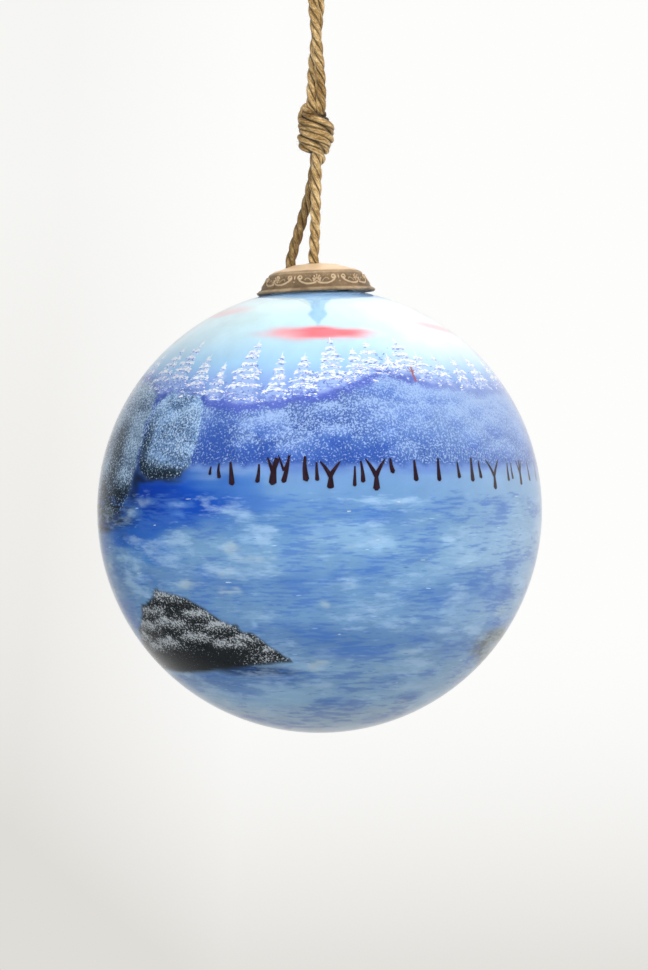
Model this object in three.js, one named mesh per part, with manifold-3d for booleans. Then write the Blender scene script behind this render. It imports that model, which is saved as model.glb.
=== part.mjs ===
// Glass ball ornament, painted on the inside, with a cast bronze cap and a jute hanging loop.
// Millimetres, +Z up. The origin is the inside top of the rope loop, where a hook bears,
// and everything hangs below it. The front of the painting faces -Y.

import * as THREE from "three";
import { mergeVertices } from "three/addons/utils/BufferGeometryUtils.js";
import Module from "manifold-3d";

const wasm = await Module();
wasm.setup();

// ---- driving dimensions ----

// the blown glass ball, and the film of paint and backing coat inside it
const ballDiameter = 150;
const glassWall = 1.6;
const neckOuterDiameter = 22;
const neckRise = 2.6; // the neck's lip above the place where the neck leaves the ball
const paintFilm = 0.5;

// the cast cap: a flared skirt, a shoulder and a domed top
const capDiameter = 39.8;
const capSideHeight = 7;
const capShoulderDiameter = 30;
const capCrown = 3.4;
const capWall = 1.3;
const capEdge = 0.6; // height of the rim's edge
const capSeatGap = 0.85; // between the rim and the glass
const glueHeight = 2.6; // above the neck's foot

// the rope, one length doubled, with its two tails through the cap
const ropeDiameter = 3.2;
const ropeHoleClearance = 0.35; // all round a tail
const frontHole = { x: -0.4, y: -2.4 }; // from the cap's axis
const backHole = { x: -8.2, y: 2.2 };
const knotWidth = 12.6;
const knotHeight = 17.2;
const knotAboveCap = 45.2; // the knot's centre above the cap's crest
const runLength = 46; // the two runs, twisted half a turn about each other
const eyeHeight = 22; // the open eye at the top, where the hook goes
const eyeRadius = 6.7; // of the rope's centre line round the hook
const endKnotDiameter = 11;
const endKnotHeight = 7;
const endKnotX = -3; // from the cap's axis
const endKnotDrop = 12; // its top below the cap's shoulder, down in the neck

// how the ball hangs: its centre beside the rope, and the cap a little askew
const ballOffset = 1.1;
const capTilt = 2.4; // degrees about the ball's centre, top towards -X
const capShift = 1.9; // of the cap along +X, across its own axis

const fitGap = 0.3; // between pieces that touch

// ---- mesh fineness ----
const ballSegments = 40;
const ballRings = 20;
const capSegments = 48;
const knotSegments = 24;
const knotRings = 10;
const ropeSides = 8;
const curvePoints = 5;

// ---- worked out from the above ----
const ballRadius = ballDiameter / 2;
const innerRadius = ballRadius - glassWall;
const neckRadius = neckOuterDiameter / 2;
const capRadius = capDiameter / 2;
const ropeRadius = ropeDiameter / 2;
const strandOffset = ropeRadius + fitGap / 2; // each run from the pair's own axis
const sphereHeight = (radius, r) => Math.sqrt(radius ** 2 - r ** 2);
const neckFootZ = sphereHeight(ballRadius, neckRadius);
const neckTopZ = neckFootZ + neckRise;

// heights above the ball's centre
const rimInset = 0.4;
const rimZ = sphereHeight(ballRadius, capRadius - rimInset) + capSeatGap;
const shoulderZ = rimZ + capSideHeight;
const crestZ = shoulderZ + capCrown;
const knotAboveBall = crestZ + knotAboveCap;
const eyeTopAboveBall = knotAboveBall + knotHeight / 2 + runLength + eyeHeight;

// heights below the hook
const ballCentre = new THREE.Vector3(ballOffset, 0, ropeDiameter - eyeTopAboveBall);
const knotZ = ballCentre.z + knotAboveBall;
const knotTopZ = knotZ + knotHeight / 2;
const knotBottomZ = knotZ - knotHeight / 2;
const eyeBottomZ = knotTopZ + runLength;

// ---- materials ----
function finish(color, roughness, metalness) {
  return new THREE.MeshStandardMaterial({ color, roughness, metalness });
}

const glass = finish(0xdff0f5, 0.05, 0);
glass.transparent = true;
glass.opacity = 0.35;
const paint = finish(0x86aede, 0.6, 0);
const bronze = finish(0xa08a68, 0.45, 0.8);
const jute = finish(0xbf9f68, 0.9, 0);
const glue = finish(0xd9cfae, 0.5, 0);

// ---- geometry helpers ----

// a closed outline of radius and height, down the outside and up the inside, turned about Z
function turned(outline, segments) {
  const closed = [...outline, outline[0].clone()].reverse();
  const lathe = new THREE.LatheGeometry(closed, segments);
  return lathe.rotateX(Math.PI / 2);
}

// points of an arc about the centre, between two angles measured from +Z
function polarArc(radius, from, to, count) {
  const points = [];
  for (let i = 0; i <= count; i += 1) {
    const angle = from + ((to - from) * i) / count;
    points.push(new THREE.Vector2(radius * Math.sin(angle), radius * Math.cos(angle)));
  }
  return points;
}

// a rope's section swept along a smooth curve through the points
function rope(points, steps) {
  const section = new THREE.Shape();
  for (let i = 0; i < ropeSides; i += 1) {
    const angle = (i / ropeSides) * 2 * Math.PI;
    const corner = [ropeRadius * Math.cos(angle), ropeRadius * Math.sin(angle)];
    if (i === 0) section.moveTo(...corner);
    else section.lineTo(...corner);
  }
  section.closePath();
  const extrudePath = new THREE.CatmullRomCurve3(points);
  return new THREE.ExtrudeGeometry(section, { steps, extrudePath, bevelEnabled: false });
}

function toSolid(geometry) {
  const bare = geometry.clone();
  bare.deleteAttribute("normal");
  bare.deleteAttribute("uv");
  const merged = mergeVertices(bare);
  const mesh = new wasm.Mesh({
    numProp: 3,
    vertProperties: new Float32Array(merged.attributes.position.array),
    triVerts: new Uint32Array(merged.index.array),
  });
  return new wasm.Manifold(mesh);
}

function fromSolid(solid) {
  const mesh = solid.getMesh();
  const geometry = new THREE.BufferGeometry();
  geometry.setAttribute("position", new THREE.BufferAttribute(mesh.vertProperties, 3));
  geometry.setIndex(new THREE.BufferAttribute(mesh.triVerts, 1));
  geometry.computeVertexNormals();
  return geometry;
}

function piece(name, geometry, material) {
  const mesh = new THREE.Mesh(geometry, material.clone());
  mesh.name = name;
  return mesh;
}

// ---- the ball ----

// a blown shell with a short open neck, wall all the same
function glassBall() {
  const lip = neckRadius - glassWall;
  const outerAngle = Math.asin(neckRadius / ballRadius);
  const innerAngle = Math.asin(lip / innerRadius);
  const outline = [
    ...polarArc(innerRadius, Math.PI, innerAngle, ballRings),
    new THREE.Vector2(lip, neckTopZ),
    new THREE.Vector2(neckRadius, neckTopZ),
    ...polarArc(ballRadius, outerAngle, Math.PI, ballRings),
  ];
  return turned(outline, ballSegments);
}

// the paint lies on the inside of the glass and stops at the neck
function paintedLining() {
  const outer = innerRadius - fitGap;
  const edge = Math.asin(neckRadius / outer);
  const outline = [
    ...polarArc(outer - paintFilm, Math.PI, edge, ballRings),
    ...polarArc(outer, edge, Math.PI, ballRings),
  ];
  return turned(outline, ballSegments);
}

// ---- the cap, about its own axis, heights from the ball's centre ----

// half of the cap's section: the crest, the shoulder and the flared skirt
function capCurve(inset) {
  const shoulder = capShoulderDiameter / 2 - inset;
  const foot = capRadius - inset;
  const flare = foot - shoulder;
  const footZ = rimZ + capEdge;
  const curve = new THREE.Path();
  curve.moveTo(0, crestZ - inset);
  curve.quadraticCurveTo(shoulder * 0.62, crestZ - inset - capCrown * 0.22, shoulder, shoulderZ - inset);
  curve.bezierCurveTo(
    shoulder + flare * 0.3,
    shoulderZ - inset - capSideHeight * 0.15,
    shoulder + flare * 0.5,
    footZ + capSideHeight * 0.25,
    foot,
    footZ,
  );
  return curve.getPoints(curvePoints);
}

function ropeHole(place) {
  const drill = new THREE.CylinderGeometry(
    ropeRadius + ropeHoleClearance,
    ropeRadius + ropeHoleClearance,
    capCrown * 2 + capWall * 4,
    knotSegments,
  );
  drill.rotateX(Math.PI / 2);
  drill.translate(place.x, place.y, shoulderZ);
  return toSolid(drill);
}

function capShell() {
  const outer = capCurve(0);
  const inner = capCurve(capWall).reverse();
  const underside = [
    new THREE.Vector2(capRadius - rimInset, rimZ),
    new THREE.Vector2(capRadius - capWall, rimZ + fitGap),
  ];
  const dome = toSolid(turned([...outer, ...underside, ...inner], capSegments));
  return fromSolid(dome.subtract(ropeHole(frontHole)).subtract(ropeHole(backHole)));
}

// the radius of the cap's inside at a height, along the straight stretches of its section
function capInsideRadius(z) {
  const section = capCurve(capWall);
  const below = section.findIndex((point) => point.y <= z);
  const [high, low] = [section[below - 1], section[below]];
  return low.x + ((high.x - low.x) * (z - low.y)) / (high.y - low.y);
}

// a bead of glue on the glass, between the neck and the inside of the cap, on the cap's axis
function glueBead() {
  const inside = neckRadius + capShift + fitGap;
  const top = neckFootZ + glueHeight;
  const outside = capInsideRadius(top) - fitGap;
  const onGlass = (r) => new THREE.Vector2(r, sphereHeight(ballRadius, r - capShift) + fitGap);
  const outline = [
    new THREE.Vector2(inside, top),
    new THREE.Vector2(outside, top),
    onGlass(outside),
    onGlass(inside),
  ];
  return turned(outline, capSegments);
}

// ---- the rope ----

// a knot is a plump closed form that its turns fit inside
function knot(width, height) {
  const outline = [];
  for (let i = 0; i <= knotRings; i += 1) {
    const angle = (Math.PI * i) / knotRings;
    const r = (width / 2) * Math.sin(angle) ** 0.85;
    outline.push(new THREE.Vector2(i === knotRings ? 0 : r, (height / 2) * Math.cos(angle)));
  }
  return turned(outline, knotSegments);
}

// one of the two runs: half a turn about the pair's axis, from the knot up to the eye
function run(side) {
  const points = [];
  const count = 12;
  const bottom = knotTopZ + fitGap;
  const top = eyeBottomZ - fitGap;
  for (let i = 0; i <= count; i += 1) {
    const angle = (Math.PI * i) / count;
    const x = side * strandOffset * Math.cos(angle);
    const y = -side * strandOffset * Math.sin(angle);
    points.push(new THREE.Vector3(x, y, bottom + ((top - bottom) * i) / count));
  }
  return rope(points, 12);
}

// the eye: up one side, round the hook and down the other
function eye() {
  const centreZ = ropeRadius - eyeRadius;
  const twistSlope = (Math.PI * strandOffset) / runLength; // as the runs arrive
  const half = [
    [strandOffset, 0, eyeBottomZ],
    [strandOffset, -1.5 * twistSlope, eyeBottomZ + 1.5],
    [strandOffset + 0.8, -0.3, eyeBottomZ + 4.4],
    [strandOffset + 2.7, -0.2, eyeBottomZ + 8],
    [eyeRadius * 0.88, 0, centreZ - eyeRadius * 0.58],
    [eyeRadius, 0, centreZ],
    [eyeRadius * Math.SQRT1_2, 0, centreZ + eyeRadius * Math.SQRT1_2],
  ];
  const right = half.map(([x, y, z]) => new THREE.Vector3(x, y, z));
  const left = half.map(([x, y, z]) => new THREE.Vector3(-x, -y, z)).reverse();
  const crown = new THREE.Vector3(0, 0, centreZ + eyeRadius);
  return rope([...right, crown, ...left], 20);
}

// a place in the cap's own frame, where the cap really is
const capFrame = new THREE.Matrix4()
  .makeTranslation(ballCentre)
  .multiply(new THREE.Matrix4().makeRotationY(THREE.MathUtils.degToRad(-capTilt)))
  .multiply(new THREE.Matrix4().makeTranslation(capShift, 0, 0));
const onCap = (x, y, z) => new THREE.Vector3(x, y, z).applyMatrix4(capFrame);

const endKnotTopZ = shoulderZ - endKnotDrop;

// a tail from the end knot, through its hole and up to the knot
function tail(hole, startX, rise) {
  const points = [
    onCap(endKnotX + startX, 0, endKnotTopZ + fitGap),
    onCap(endKnotX + startX, 0, endKnotTopZ + ropeDiameter),
    onCap(hole.x, hole.y, crestZ - capWall - capCrown / 2),
    onCap(hole.x, hole.y, crestZ + fitGap),
    ...rise.map(([x, y, z]) => new THREE.Vector3(x, y, knotBottomZ + z)),
  ];
  return rope(points, 16);
}

// ---- the assembly ----
const ornament = new THREE.Group();

const ball = new THREE.Group();
ball.position.copy(ballCentre);
ball.rotation.y = THREE.MathUtils.degToRad(-capTilt);
ball.add(piece("glass_ball", glassBall(), glass));
ball.add(piece("painted_lining", paintedLining(), paint));

const cap = new THREE.Group();
cap.position.x = capShift;
cap.add(piece("cap_shell", capShell(), bronze));
cap.add(piece("glue_bead", glueBead(), glue));
const endKnot = piece("end_knot", knot(endKnotDiameter, endKnotHeight), jute);
endKnot.position.set(endKnotX, 0, endKnotTopZ - endKnotHeight / 2);
cap.add(endKnot);
ball.add(cap);
ornament.add(ball);

// heights of a tail's free stretch are from the knot's underside
const frontRise = [
  [-0.45, -2.0, -26],
  [-0.2, -2.1, -17],
  [0.05, -2.0, -8],
  [0.1, -1.8, -fitGap],
];
const backRise = [
  [-5.05, 1.7, -23],
  [-2.55, 1.9, -14],
  [-0.9, 2.0, -6],
  [-0.3, 1.8, -fitGap],
];
ornament.add(piece("front_tail", tail(frontHole, strandOffset, frontRise), jute));
ornament.add(piece("back_tail", tail(backHole, -strandOffset, backRise), jute));

const ropeKnot = piece("rope_knot", knot(knotWidth, knotHeight), jute);
ropeKnot.position.z = knotZ;
ornament.add(ropeKnot);
ornament.add(piece("right_run", run(1), jute));
ornament.add(piece("left_run", run(-1), jute));
ornament.add(piece("loop_eye", eye(), jute));

export default ornament;
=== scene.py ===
import math
import random

import bmesh
import bpy
import numpy as np
from mathutils import Matrix, Vector


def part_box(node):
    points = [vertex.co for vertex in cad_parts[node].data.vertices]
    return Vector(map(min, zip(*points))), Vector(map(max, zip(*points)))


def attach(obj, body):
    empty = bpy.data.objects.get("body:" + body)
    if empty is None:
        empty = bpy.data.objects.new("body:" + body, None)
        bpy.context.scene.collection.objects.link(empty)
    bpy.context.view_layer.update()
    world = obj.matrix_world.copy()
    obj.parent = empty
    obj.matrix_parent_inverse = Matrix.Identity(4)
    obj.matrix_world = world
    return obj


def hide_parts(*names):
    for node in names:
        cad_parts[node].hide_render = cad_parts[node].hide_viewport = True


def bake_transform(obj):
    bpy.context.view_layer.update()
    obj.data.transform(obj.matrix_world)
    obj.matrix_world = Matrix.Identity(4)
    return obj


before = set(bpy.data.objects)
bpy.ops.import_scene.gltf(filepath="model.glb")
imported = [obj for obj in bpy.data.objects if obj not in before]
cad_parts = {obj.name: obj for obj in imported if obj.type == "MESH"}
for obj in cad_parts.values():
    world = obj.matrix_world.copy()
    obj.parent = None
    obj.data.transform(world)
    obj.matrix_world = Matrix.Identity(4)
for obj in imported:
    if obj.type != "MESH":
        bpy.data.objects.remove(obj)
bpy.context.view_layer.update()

mm = 0.001
gap = 0.3 * mm  # between the ends of two stretches of rope
random.seed(11)

# Where things are, from the frame.

ball = {
    "radius": 75 * mm,
    "glass": 1.6 * mm,
    "neckRadius": 11 * mm,
    "neckRise": 2.6 * mm,
    "tilt": 2.4,  # degrees, the top towards -X
}
ballLow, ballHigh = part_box("glass_ball")
ballCentre = Vector(((ballLow.x + ballHigh.x) / 2, 0, ballLow.z + ball["radius"]))
knotLow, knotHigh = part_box("rope_knot")
knotCentre = (knotLow + knotHigh) / 2
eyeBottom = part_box("right_run")[1].z + gap

cap = {
    "radius": 19.9 * mm,
    "shoulder": 15 * mm,
    "sideHeight": 7 * mm,
    "crown": 3.4 * mm,
    "edge": 0.6 * mm,
    "wall": 1.3 * mm,
    "seatGap": 0.85 * mm,
    "rimInset": 0.4 * mm,
    "shift": 1.9 * mm,  # off the ball's axis
    "holeGap": 0.35 * mm,  # all round a tail
    "frontHole": (-0.4 * mm, -2.4 * mm),
    "backHole": (-8.2 * mm, 2.2 * mm),
}
rimZ = math.sqrt(ball["radius"] ** 2 - (cap["radius"] - cap["rimInset"]) ** 2) + cap["seatGap"]
shoulderZ = rimZ + cap["sideHeight"]
crestZ = shoulderZ + cap["crown"]
ballFrame = Matrix.Translation(ballCentre) @ Matrix.Rotation(math.radians(-ball["tilt"]), 4, "Y")
capFrame = ballFrame @ Matrix.Translation((cap["shift"], 0, 0))


# Camera.

cameraSet = {
    "distance": 1.45,
    "lens": 159.4,
    "right": 1.5 * mm,  # of the ball's centre
    "above": 8.6 * mm,
}


def makeCamera():
    data = bpy.data.cameras.new("camera")
    data.lens = cameraSet["lens"]
    data.sensor_width = 36
    camera = bpy.data.objects.new("camera", data)
    bpy.context.scene.collection.objects.link(camera)
    offset = Vector((cameraSet["right"], -cameraSet["distance"], cameraSet["above"]))
    camera.location = ballCentre + offset
    camera.rotation_euler = (math.radians(90), 0, 0)
    bpy.context.scene.camera = camera


makeCamera()
print("camera ready")


# Small tools.


def newPiece(name, bm, materials):
    mesh = bpy.data.meshes.new(name)
    bm.to_mesh(mesh)
    bm.free()
    for material in materials:
        mesh.materials.append(material)
    mesh.polygons.foreach_set("use_smooth", [True] * len(mesh.polygons))
    piece = bpy.data.objects.new(name, mesh)
    bpy.context.scene.collection.objects.link(piece)
    return piece


def pour(source, target):
    # joins a small mesh into a larger one, quicker than growing the large one bit by bit
    mesh = bpy.data.meshes.new("part")
    source.to_mesh(mesh)
    source.free()
    target.from_mesh(mesh)
    bpy.data.meshes.remove(mesh)


def meshPoints(mesh):
    points = np.empty(len(mesh.vertices) * 3, np.float32)
    mesh.vertices.foreach_get("co", points)
    return points.reshape(-1, 3).astype(float)


def pointValues(mesh, name, values):
    attribute = mesh.attributes.new(name, "FLOAT", "POINT")
    attribute.data.foreach_set("value", np.asarray(values, np.float32))


def pointColours(mesh, name, colours):
    attribute = mesh.attributes.new(name, "FLOAT_COLOR", "POINT")
    full = np.ones((len(colours), 4), np.float32)
    full[:, :3] = colours
    attribute.data.foreach_set("color", full.ravel())


def linear(colour):
    # a colour given as 0 to 255, as it is seen
    c = np.asarray(colour, float) / 255
    return np.where(c <= 0.04045, c / 12.92, ((c + 0.055) / 1.055) ** 2.4)


def rgba(colour):
    return (*[float(c) for c in linear(colour)], 1.0)


def smoothStep(low, high, x):
    t = np.clip((x - low) / (high - low), 0, 1)
    return t * t * (3 - 2 * t)


def softNoise(points, size, seed):
    # smooth values from 0 to 1 that change over about that size, the same every run
    grid = np.random.RandomState(seed).rand(32, 32, 32)
    p = points / size + 1000
    cell = np.floor(p).astype(int)
    f = p - cell
    f = f * f * (3 - 2 * f)
    total = 0
    for corner in range(8):
        dx, dy, dz = corner & 1, corner >> 1 & 1, corner >> 2 & 1
        weight = (f[:, 0] if dx else 1 - f[:, 0]) * (f[:, 1] if dy else 1 - f[:, 1])
        weight = weight * (f[:, 2] if dz else 1 - f[:, 2])
        i, j, k = [(cell[:, n] + d) % 32 for n, d in enumerate((dx, dy, dz))]
        total = total + weight * grid[i, j, k]
    return total


# Shader groups.


class Nodes:
    # a short way to place and join shader nodes
    def __init__(self, tree):
        self.tree = tree

    def add(self, kind, inputs=None, **settings):
        node = self.tree.nodes.new(kind)
        for name, value in settings.items():
            setattr(node, name, value)
        self.fill(node, inputs or {})
        return node

    def fill(self, node, inputs):
        for name, value in inputs.items():
            self.feed(node.inputs[name], value)

    def feed(self, socket, value):
        if isinstance(value, bpy.types.NodeSocket):
            self.tree.links.new(value, socket)
        else:
            socket.default_value = value

    def maths(self, operation, a, b=0.0, clamp=False):
        node = self.add("ShaderNodeMath", {0: a, 1: b}, operation=operation, use_clamp=clamp)
        return node.outputs[0]

    def mix(self, factor, a, b):
        values = {0: factor, 6: a, 7: b}
        return self.add("ShaderNodeMix", values, data_type="RGBA").outputs[2]

    def noise(self, vector, scale, detail=3.0, roughness=0.55):
        values = {"Vector": vector, "Scale": scale, "Detail": detail, "Roughness": roughness}
        return self.add("ShaderNodeTexNoise", values).outputs[0]

    def remap(self, value, low, high, newLow=0.0, newHigh=1.0):
        values = {0: value, 1: low, 2: high, 3: newLow, 4: newHigh}
        return self.add("ShaderNodeMapRange", values).outputs[0]

    def bump(self, height, strength, distance):
        values = {"Height": height, "Strength": strength, "Distance": distance}
        return self.add("ShaderNodeBump", values).outputs[0]

    def group(self, tree, **values):
        return self.add("ShaderNodeGroup", values, node_tree=tree).outputs

    def place(self, vector, scale, location=(0, 0, 0)):
        values = {"Vector": vector, "Scale": scale, "Location": location}
        return self.add("ShaderNodeMapping", values).outputs[0]

    def objectPoint(self):
        return self.add("ShaderNodeTexCoord").outputs["Object"]

    def attribute(self, name, output="Color"):
        return self.add("ShaderNodeAttribute", attribute_name=name).outputs[output]


def newGroup(name, values, outputs):
    # a shader group that takes a Vector and some numbers, and gives masks from 0 to 1
    tree = bpy.data.node_groups.new(name, "ShaderNodeTree")
    tree.interface.new_socket("Vector", in_out="INPUT", socket_type="NodeSocketVector")
    for socket, value in values.items():
        made = tree.interface.new_socket(socket, in_out="INPUT", socket_type="NodeSocketFloat")
        made.default_value = value
    for socket in outputs:
        tree.interface.new_socket(socket, in_out="OUTPUT", socket_type="NodeSocketFloat")
    n = Nodes(tree)
    return tree, n, n.add("NodeGroupInput").outputs, n.add("NodeGroupOutput").inputs


def brushMask(n, given, raw, low, high):
    # 1 where the brush has left paint: Cover is how much of the surface that is
    even = n.remap(raw, low, high)
    above = n.maths("SUBTRACT", even, n.maths("SUBTRACT", 1.0, given["Cover"]))
    return n.maths("DIVIDE", above, given["Softness"], clamp=True)


def makeStipple():
    # specks left by a dabbed brush
    values = {"Scale": 900.0, "Cover": 0.5, "Softness": 0.15}
    tree, n, given, out = newGroup("stipple", values, ["Mask"])
    raw = n.noise(given["Vector"], given["Scale"], 2.0, 0.6)
    n.feed(out["Mask"], brushMask(n, given, raw, 0.28, 0.72))
    return tree


def makeStrokes():
    # level brush strokes: long across, thin in height, with ragged ends
    values = {"Scale": 60.0, "Flatness": 6.0, "Cover": 0.4, "Softness": 0.2}
    tree, n, given, out = newGroup("levelStrokes", values, ["Mask"])
    tall = n.add("ShaderNodeCombineXYZ", {0: 1.0, 1: 1.0, 2: given["Flatness"]}).outputs[0]
    flat = n.add("ShaderNodeVectorMath", {0: given["Vector"], 1: tall}, operation="MULTIPLY").outputs[0]
    raw = n.noise(flat, given["Scale"], 4.0, 0.62)
    n.feed(out["Mask"], brushMask(n, given, raw, 0.3, 0.7))
    return tree


stippleGroup = makeStipple()
strokeGroup = makeStrokes()


def newMaterial(name):
    material = bpy.data.materials.new(name)
    material.use_nodes = True
    material.node_tree.nodes.clear()
    n = Nodes(material.node_tree)
    shader = n.add("ShaderNodeBsdfPrincipled")
    output = n.add("ShaderNodeOutputMaterial", {"Surface": shader.outputs[0]})
    return material, n, shader, output


# Rope.

rope = {
    "diameter": 3.2 * mm,
    "radius": 1.84 * mm,  # over the strands' crowns
    "lay": 15 * mm,  # length of one turn of a strand
    "sections": 8,  # round each strand
    "step": 0.45 * mm,
    "strandOffset": 0.43,  # of the rope's radius
    "hairs": 5.5,  # per millimetre
    "light": (252, 222, 168),
    "middle": (174, 140, 86),
    "dark": (92, 62, 22),
    # painted shade colour, laid into the grooves between strands, where ropes meet and on the shaded back
    # tail
    "groove": (38, 22, 4),
}


def makeJuteMaterial():
    material, n, shader, _ = newMaterial("jute")
    uv = n.add("ShaderNodeUVMap", uv_map="ropeMap").outputs[0]
    fibre = n.noise(n.place(uv, (9, 1.3, 1)), 3.0, 5.0, 0.65)
    yarn = n.noise(n.place(uv, (2.6, 0.5, 1)), 2.0, 3.0, 0.5)
    patch = n.noise(n.objectPoint(), 170.0, 2.0, 0.5)
    tone = n.maths("ADD", n.remap(fibre, 0.3, 0.7, 0.0, 0.62), n.remap(yarn, 0.3, 0.7, -0.1, 0.32))
    tone = n.maths("ADD", tone, n.remap(patch, 0.3, 0.7, -0.14, 0.18), clamp=True)
    ramp = n.add("ShaderNodeValToRGB", {0: tone})
    stops = ramp.color_ramp.elements
    stops[0].position, stops[0].color = 0.1, rgba(rope["dark"])
    stops[1].position, stops[1].color = 0.82, rgba(rope["light"])
    middle = stops.new(0.44)
    middle.color = rgba(rope["middle"])
    # painted shade: the rope darkens towards the groove colour between the strands, and wherever a shadow
    # value is set
    crown = n.attribute("crown", "Fac")
    grooveShade = n.remap(crown, 0.0, 0.68, 1.0, 0.0)
    shade = n.maths("MULTIPLY", n.maths("MAXIMUM", grooveShade, n.attribute("shadow", "Fac")), 0.92)
    colour = n.mix(shade, ramp.outputs[0], rgba(rope["groove"]))
    fine = n.noise(n.place(uv, (16, 1.6, 1)), 4.0, 4.0, 0.7)
    height = n.maths("ADD", n.maths("MULTIPLY", fibre, 0.6), n.maths("MULTIPLY", fine, 0.4))
    look = {
        "Base Color": colour,
        "Roughness": n.remap(fibre, 0.3, 0.7, 0.95, 0.7),
        "Sheen Weight": 0.15,
        "Sheen Roughness": 0.5,
        "Normal": n.bump(height, 0.9, 0.35 * mm),
    }
    n.fill(shader, look)
    return material


def smoothLine(points, step):
    # a centripetal curve through the points, cut into even steps
    places = [Vector(p) for p in points]
    places = [places[0] * 2 - places[1], *places, places[-1] * 2 - places[-2]]
    line = []
    for a, b, c, d in zip(places, places[1:], places[2:], places[3:]):
        t1 = (b - a).length ** 0.5
        t2 = t1 + (c - b).length ** 0.5
        t3 = t2 + (d - c).length ** 0.5
        for i in range(16):
            t = t1 + (t2 - t1) * i / 16
            ab = a.lerp(b, t / t1)
            bc = b.lerp(c, (t - t1) / (t2 - t1))
            cd = c.lerp(d, (t - t2) / (t3 - t2))
            abc = ab.lerp(bc, t / t2)
            bcd = bc.lerp(cd, (t - t1) / (t3 - t1))
            line.append(abc.lerp(bcd, (t - t1) / (t2 - t1)))
    line.append(places[-2])
    return evenLine(line, step)


def evenLine(line, step):
    lengths = np.cumsum([0] + [(b - a).length for a, b in zip(line, line[1:])])
    count = max(2, round(lengths[-1] / step))
    marks = np.linspace(0, lengths[-1], count + 1)
    columns = [np.interp(marks, lengths, [p[k] for p in line]) for k in range(3)]
    return [Vector(p) for p in zip(*columns)]


def lineLength(line):
    return sum((b - a).length for a, b in zip(line, line[1:]))


def turnFrames(line):
    # a direction across the line at each point, carried along without twist
    tangents = []
    for i in range(len(line)):
        ahead = line[min(i + 1, len(line) - 1)] - line[max(i - 1, 0)]
        tangents.append(ahead.normalized())
    across = Vector((1, 0, 0)) - tangents[0] * tangents[0].x
    across.normalize()
    frames = []
    for tangent in tangents:
        across = (across - tangent * across.dot(tangent)).normalized()
        frames.append((across.copy(), tangent.cross(across)))
    return frames


def strandRadius(psi, radius):
    # the section of three strands laid together, psi from a strand's middle
    offset = rope["strandOffset"] * radius
    strand = radius - offset
    return offset * math.cos(psi) + math.sqrt(strand**2 - (offset * math.sin(psi)) ** 2)


def layTube(bm, line, around, sectionPoint):
    # a flat grid rolled into a tube along the line, seam welded, ends closed
    steps = len(line) - 1
    uvLayer = bm.loops.layers.uv.verify()
    crownLayer = bm.verts.layers.float.get("crown") or bm.verts.layers.float.new("crown")
    mapLayer = bm.verts.layers.float_vector.get("map") or bm.verts.layers.float_vector.new("map")
    grid = bmesh.ops.create_grid(bm, x_segments=around, y_segments=steps, size=1)["verts"]
    for vert in grid:
        k = round((vert.co.x + 1) / 2 * around)
        i = round((vert.co.y + 1) / 2 * steps)
        vert.co, vert[crownLayer], vert[mapLayer] = sectionPoint(k, i)
    faces = {face for vert in grid for face in vert.link_faces}
    for face in faces:
        for loop in face.loops:
            loop[uvLayer].uv = loop.vert[mapLayer].xy
    edges = {edge for face in faces for edge in face.edges if edge.is_boundary}
    bmesh.ops.remove_doubles(bm, verts=list({v for e in edges for v in e.verts}), dist=0.001 * mm)
    rims = [e for v in grid if v.is_valid for e in v.link_edges if e.is_boundary]
    bmesh.ops.holes_fill(bm, edges=list(set(rims)), sides=0)


def layRope(bm, line, frames, start, radius, lay=rope["lay"]):
    # sweeps the three-strand section along a line
    around = rope["sections"] * 3
    travelled = start + np.cumsum([0] + [(b - a).length for a, b in zip(line, line[1:])])

    def sectionPoint(k, i):
        psi = ((k / rope["sections"]) % 1 - 0.5) * 2 * math.pi / 3
        angle = 2 * math.pi * (k / around - travelled[i] / lay)
        across, up = frames[i]
        out = across * math.cos(angle) + up * math.sin(angle)
        crown = 1 - abs(psi / (math.pi / 3)) ** 2.2
        place = Vector((k / rope["sections"], travelled[i] / rope["diameter"], 0))
        return line[i] + out * strandRadius(psi, radius), crown, place

    layTube(bm, line, around, sectionPoint)
    addHairs(bm, line, frames, radius)


def addHairs(bm, line, frames, radius):
    # short loose fibres that stand out of the rope
    batch = bmesh.new()
    for number in range(int(lineLength(line) / mm * rope["hairs"])):
        if number % 50 == 49:
            pour(batch, bm)
            batch = bmesh.new()
        i = random.randrange(2, len(line) - 2)
        across, up = frames[i]
        angle = random.uniform(0, 2 * math.pi)
        out = across * math.cos(angle) + up * math.sin(angle)
        along = across.cross(up)
        side = along.cross(out)
        reach = random.uniform(0.4, 1.7) * mm
        lean = along * random.uniform(-1, 1) + side * random.uniform(-0.9, 0.9)
        root = line[i] + out * radius * 0.78
        middle = root + (out * random.uniform(0.25, 0.6) + lean * 0.35) * reach
        tip = middle + (out * random.uniform(-0.25, 0.4) + lean * 0.6) * reach
        fibre = [root, root.lerp(middle, 0.6), middle.lerp(tip, 0.25), tip]
        thick = random.uniform(0.028, 0.05) * mm

        def fibrePoint(k, j):
            turn = 2 * math.pi * k / 3
            size = thick * (1 - 0.28 * j)
            ring = (out * math.sin(turn) + side * math.cos(turn)) * size
            return fibre[j] + ring, 0.85, Vector((angle + k * 0.1, i * 0.13 + j, 0))

        layTube(batch, fibre, 3, fibrePoint)
    pour(batch, bm)


def finishRope(bm, name):
    bmesh.ops.recalc_face_normals(bm, faces=bm.faces)
    piece = newPiece(name, bm, [juteMaterial])
    piece.data.uv_layers[0].name = "ropeMap"
    return piece


def ropePiece(name, line, frames, start):
    bm = bmesh.new()
    layRope(bm, line, frames, start, rope["radius"])
    return finishRope(bm, name)


juteMaterial = makeJuteMaterial()

# The hanging loop above the knot, one length: up the right run, round the eye, down the left.
hanger = {
    "pairOffset": 1.75 * mm,  # each run from the middle of the pair
    "twistOffset": 1.6 * mm,
    "eyeRadius": 6.7 * mm,
    "turnPoints": 12,
}


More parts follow.
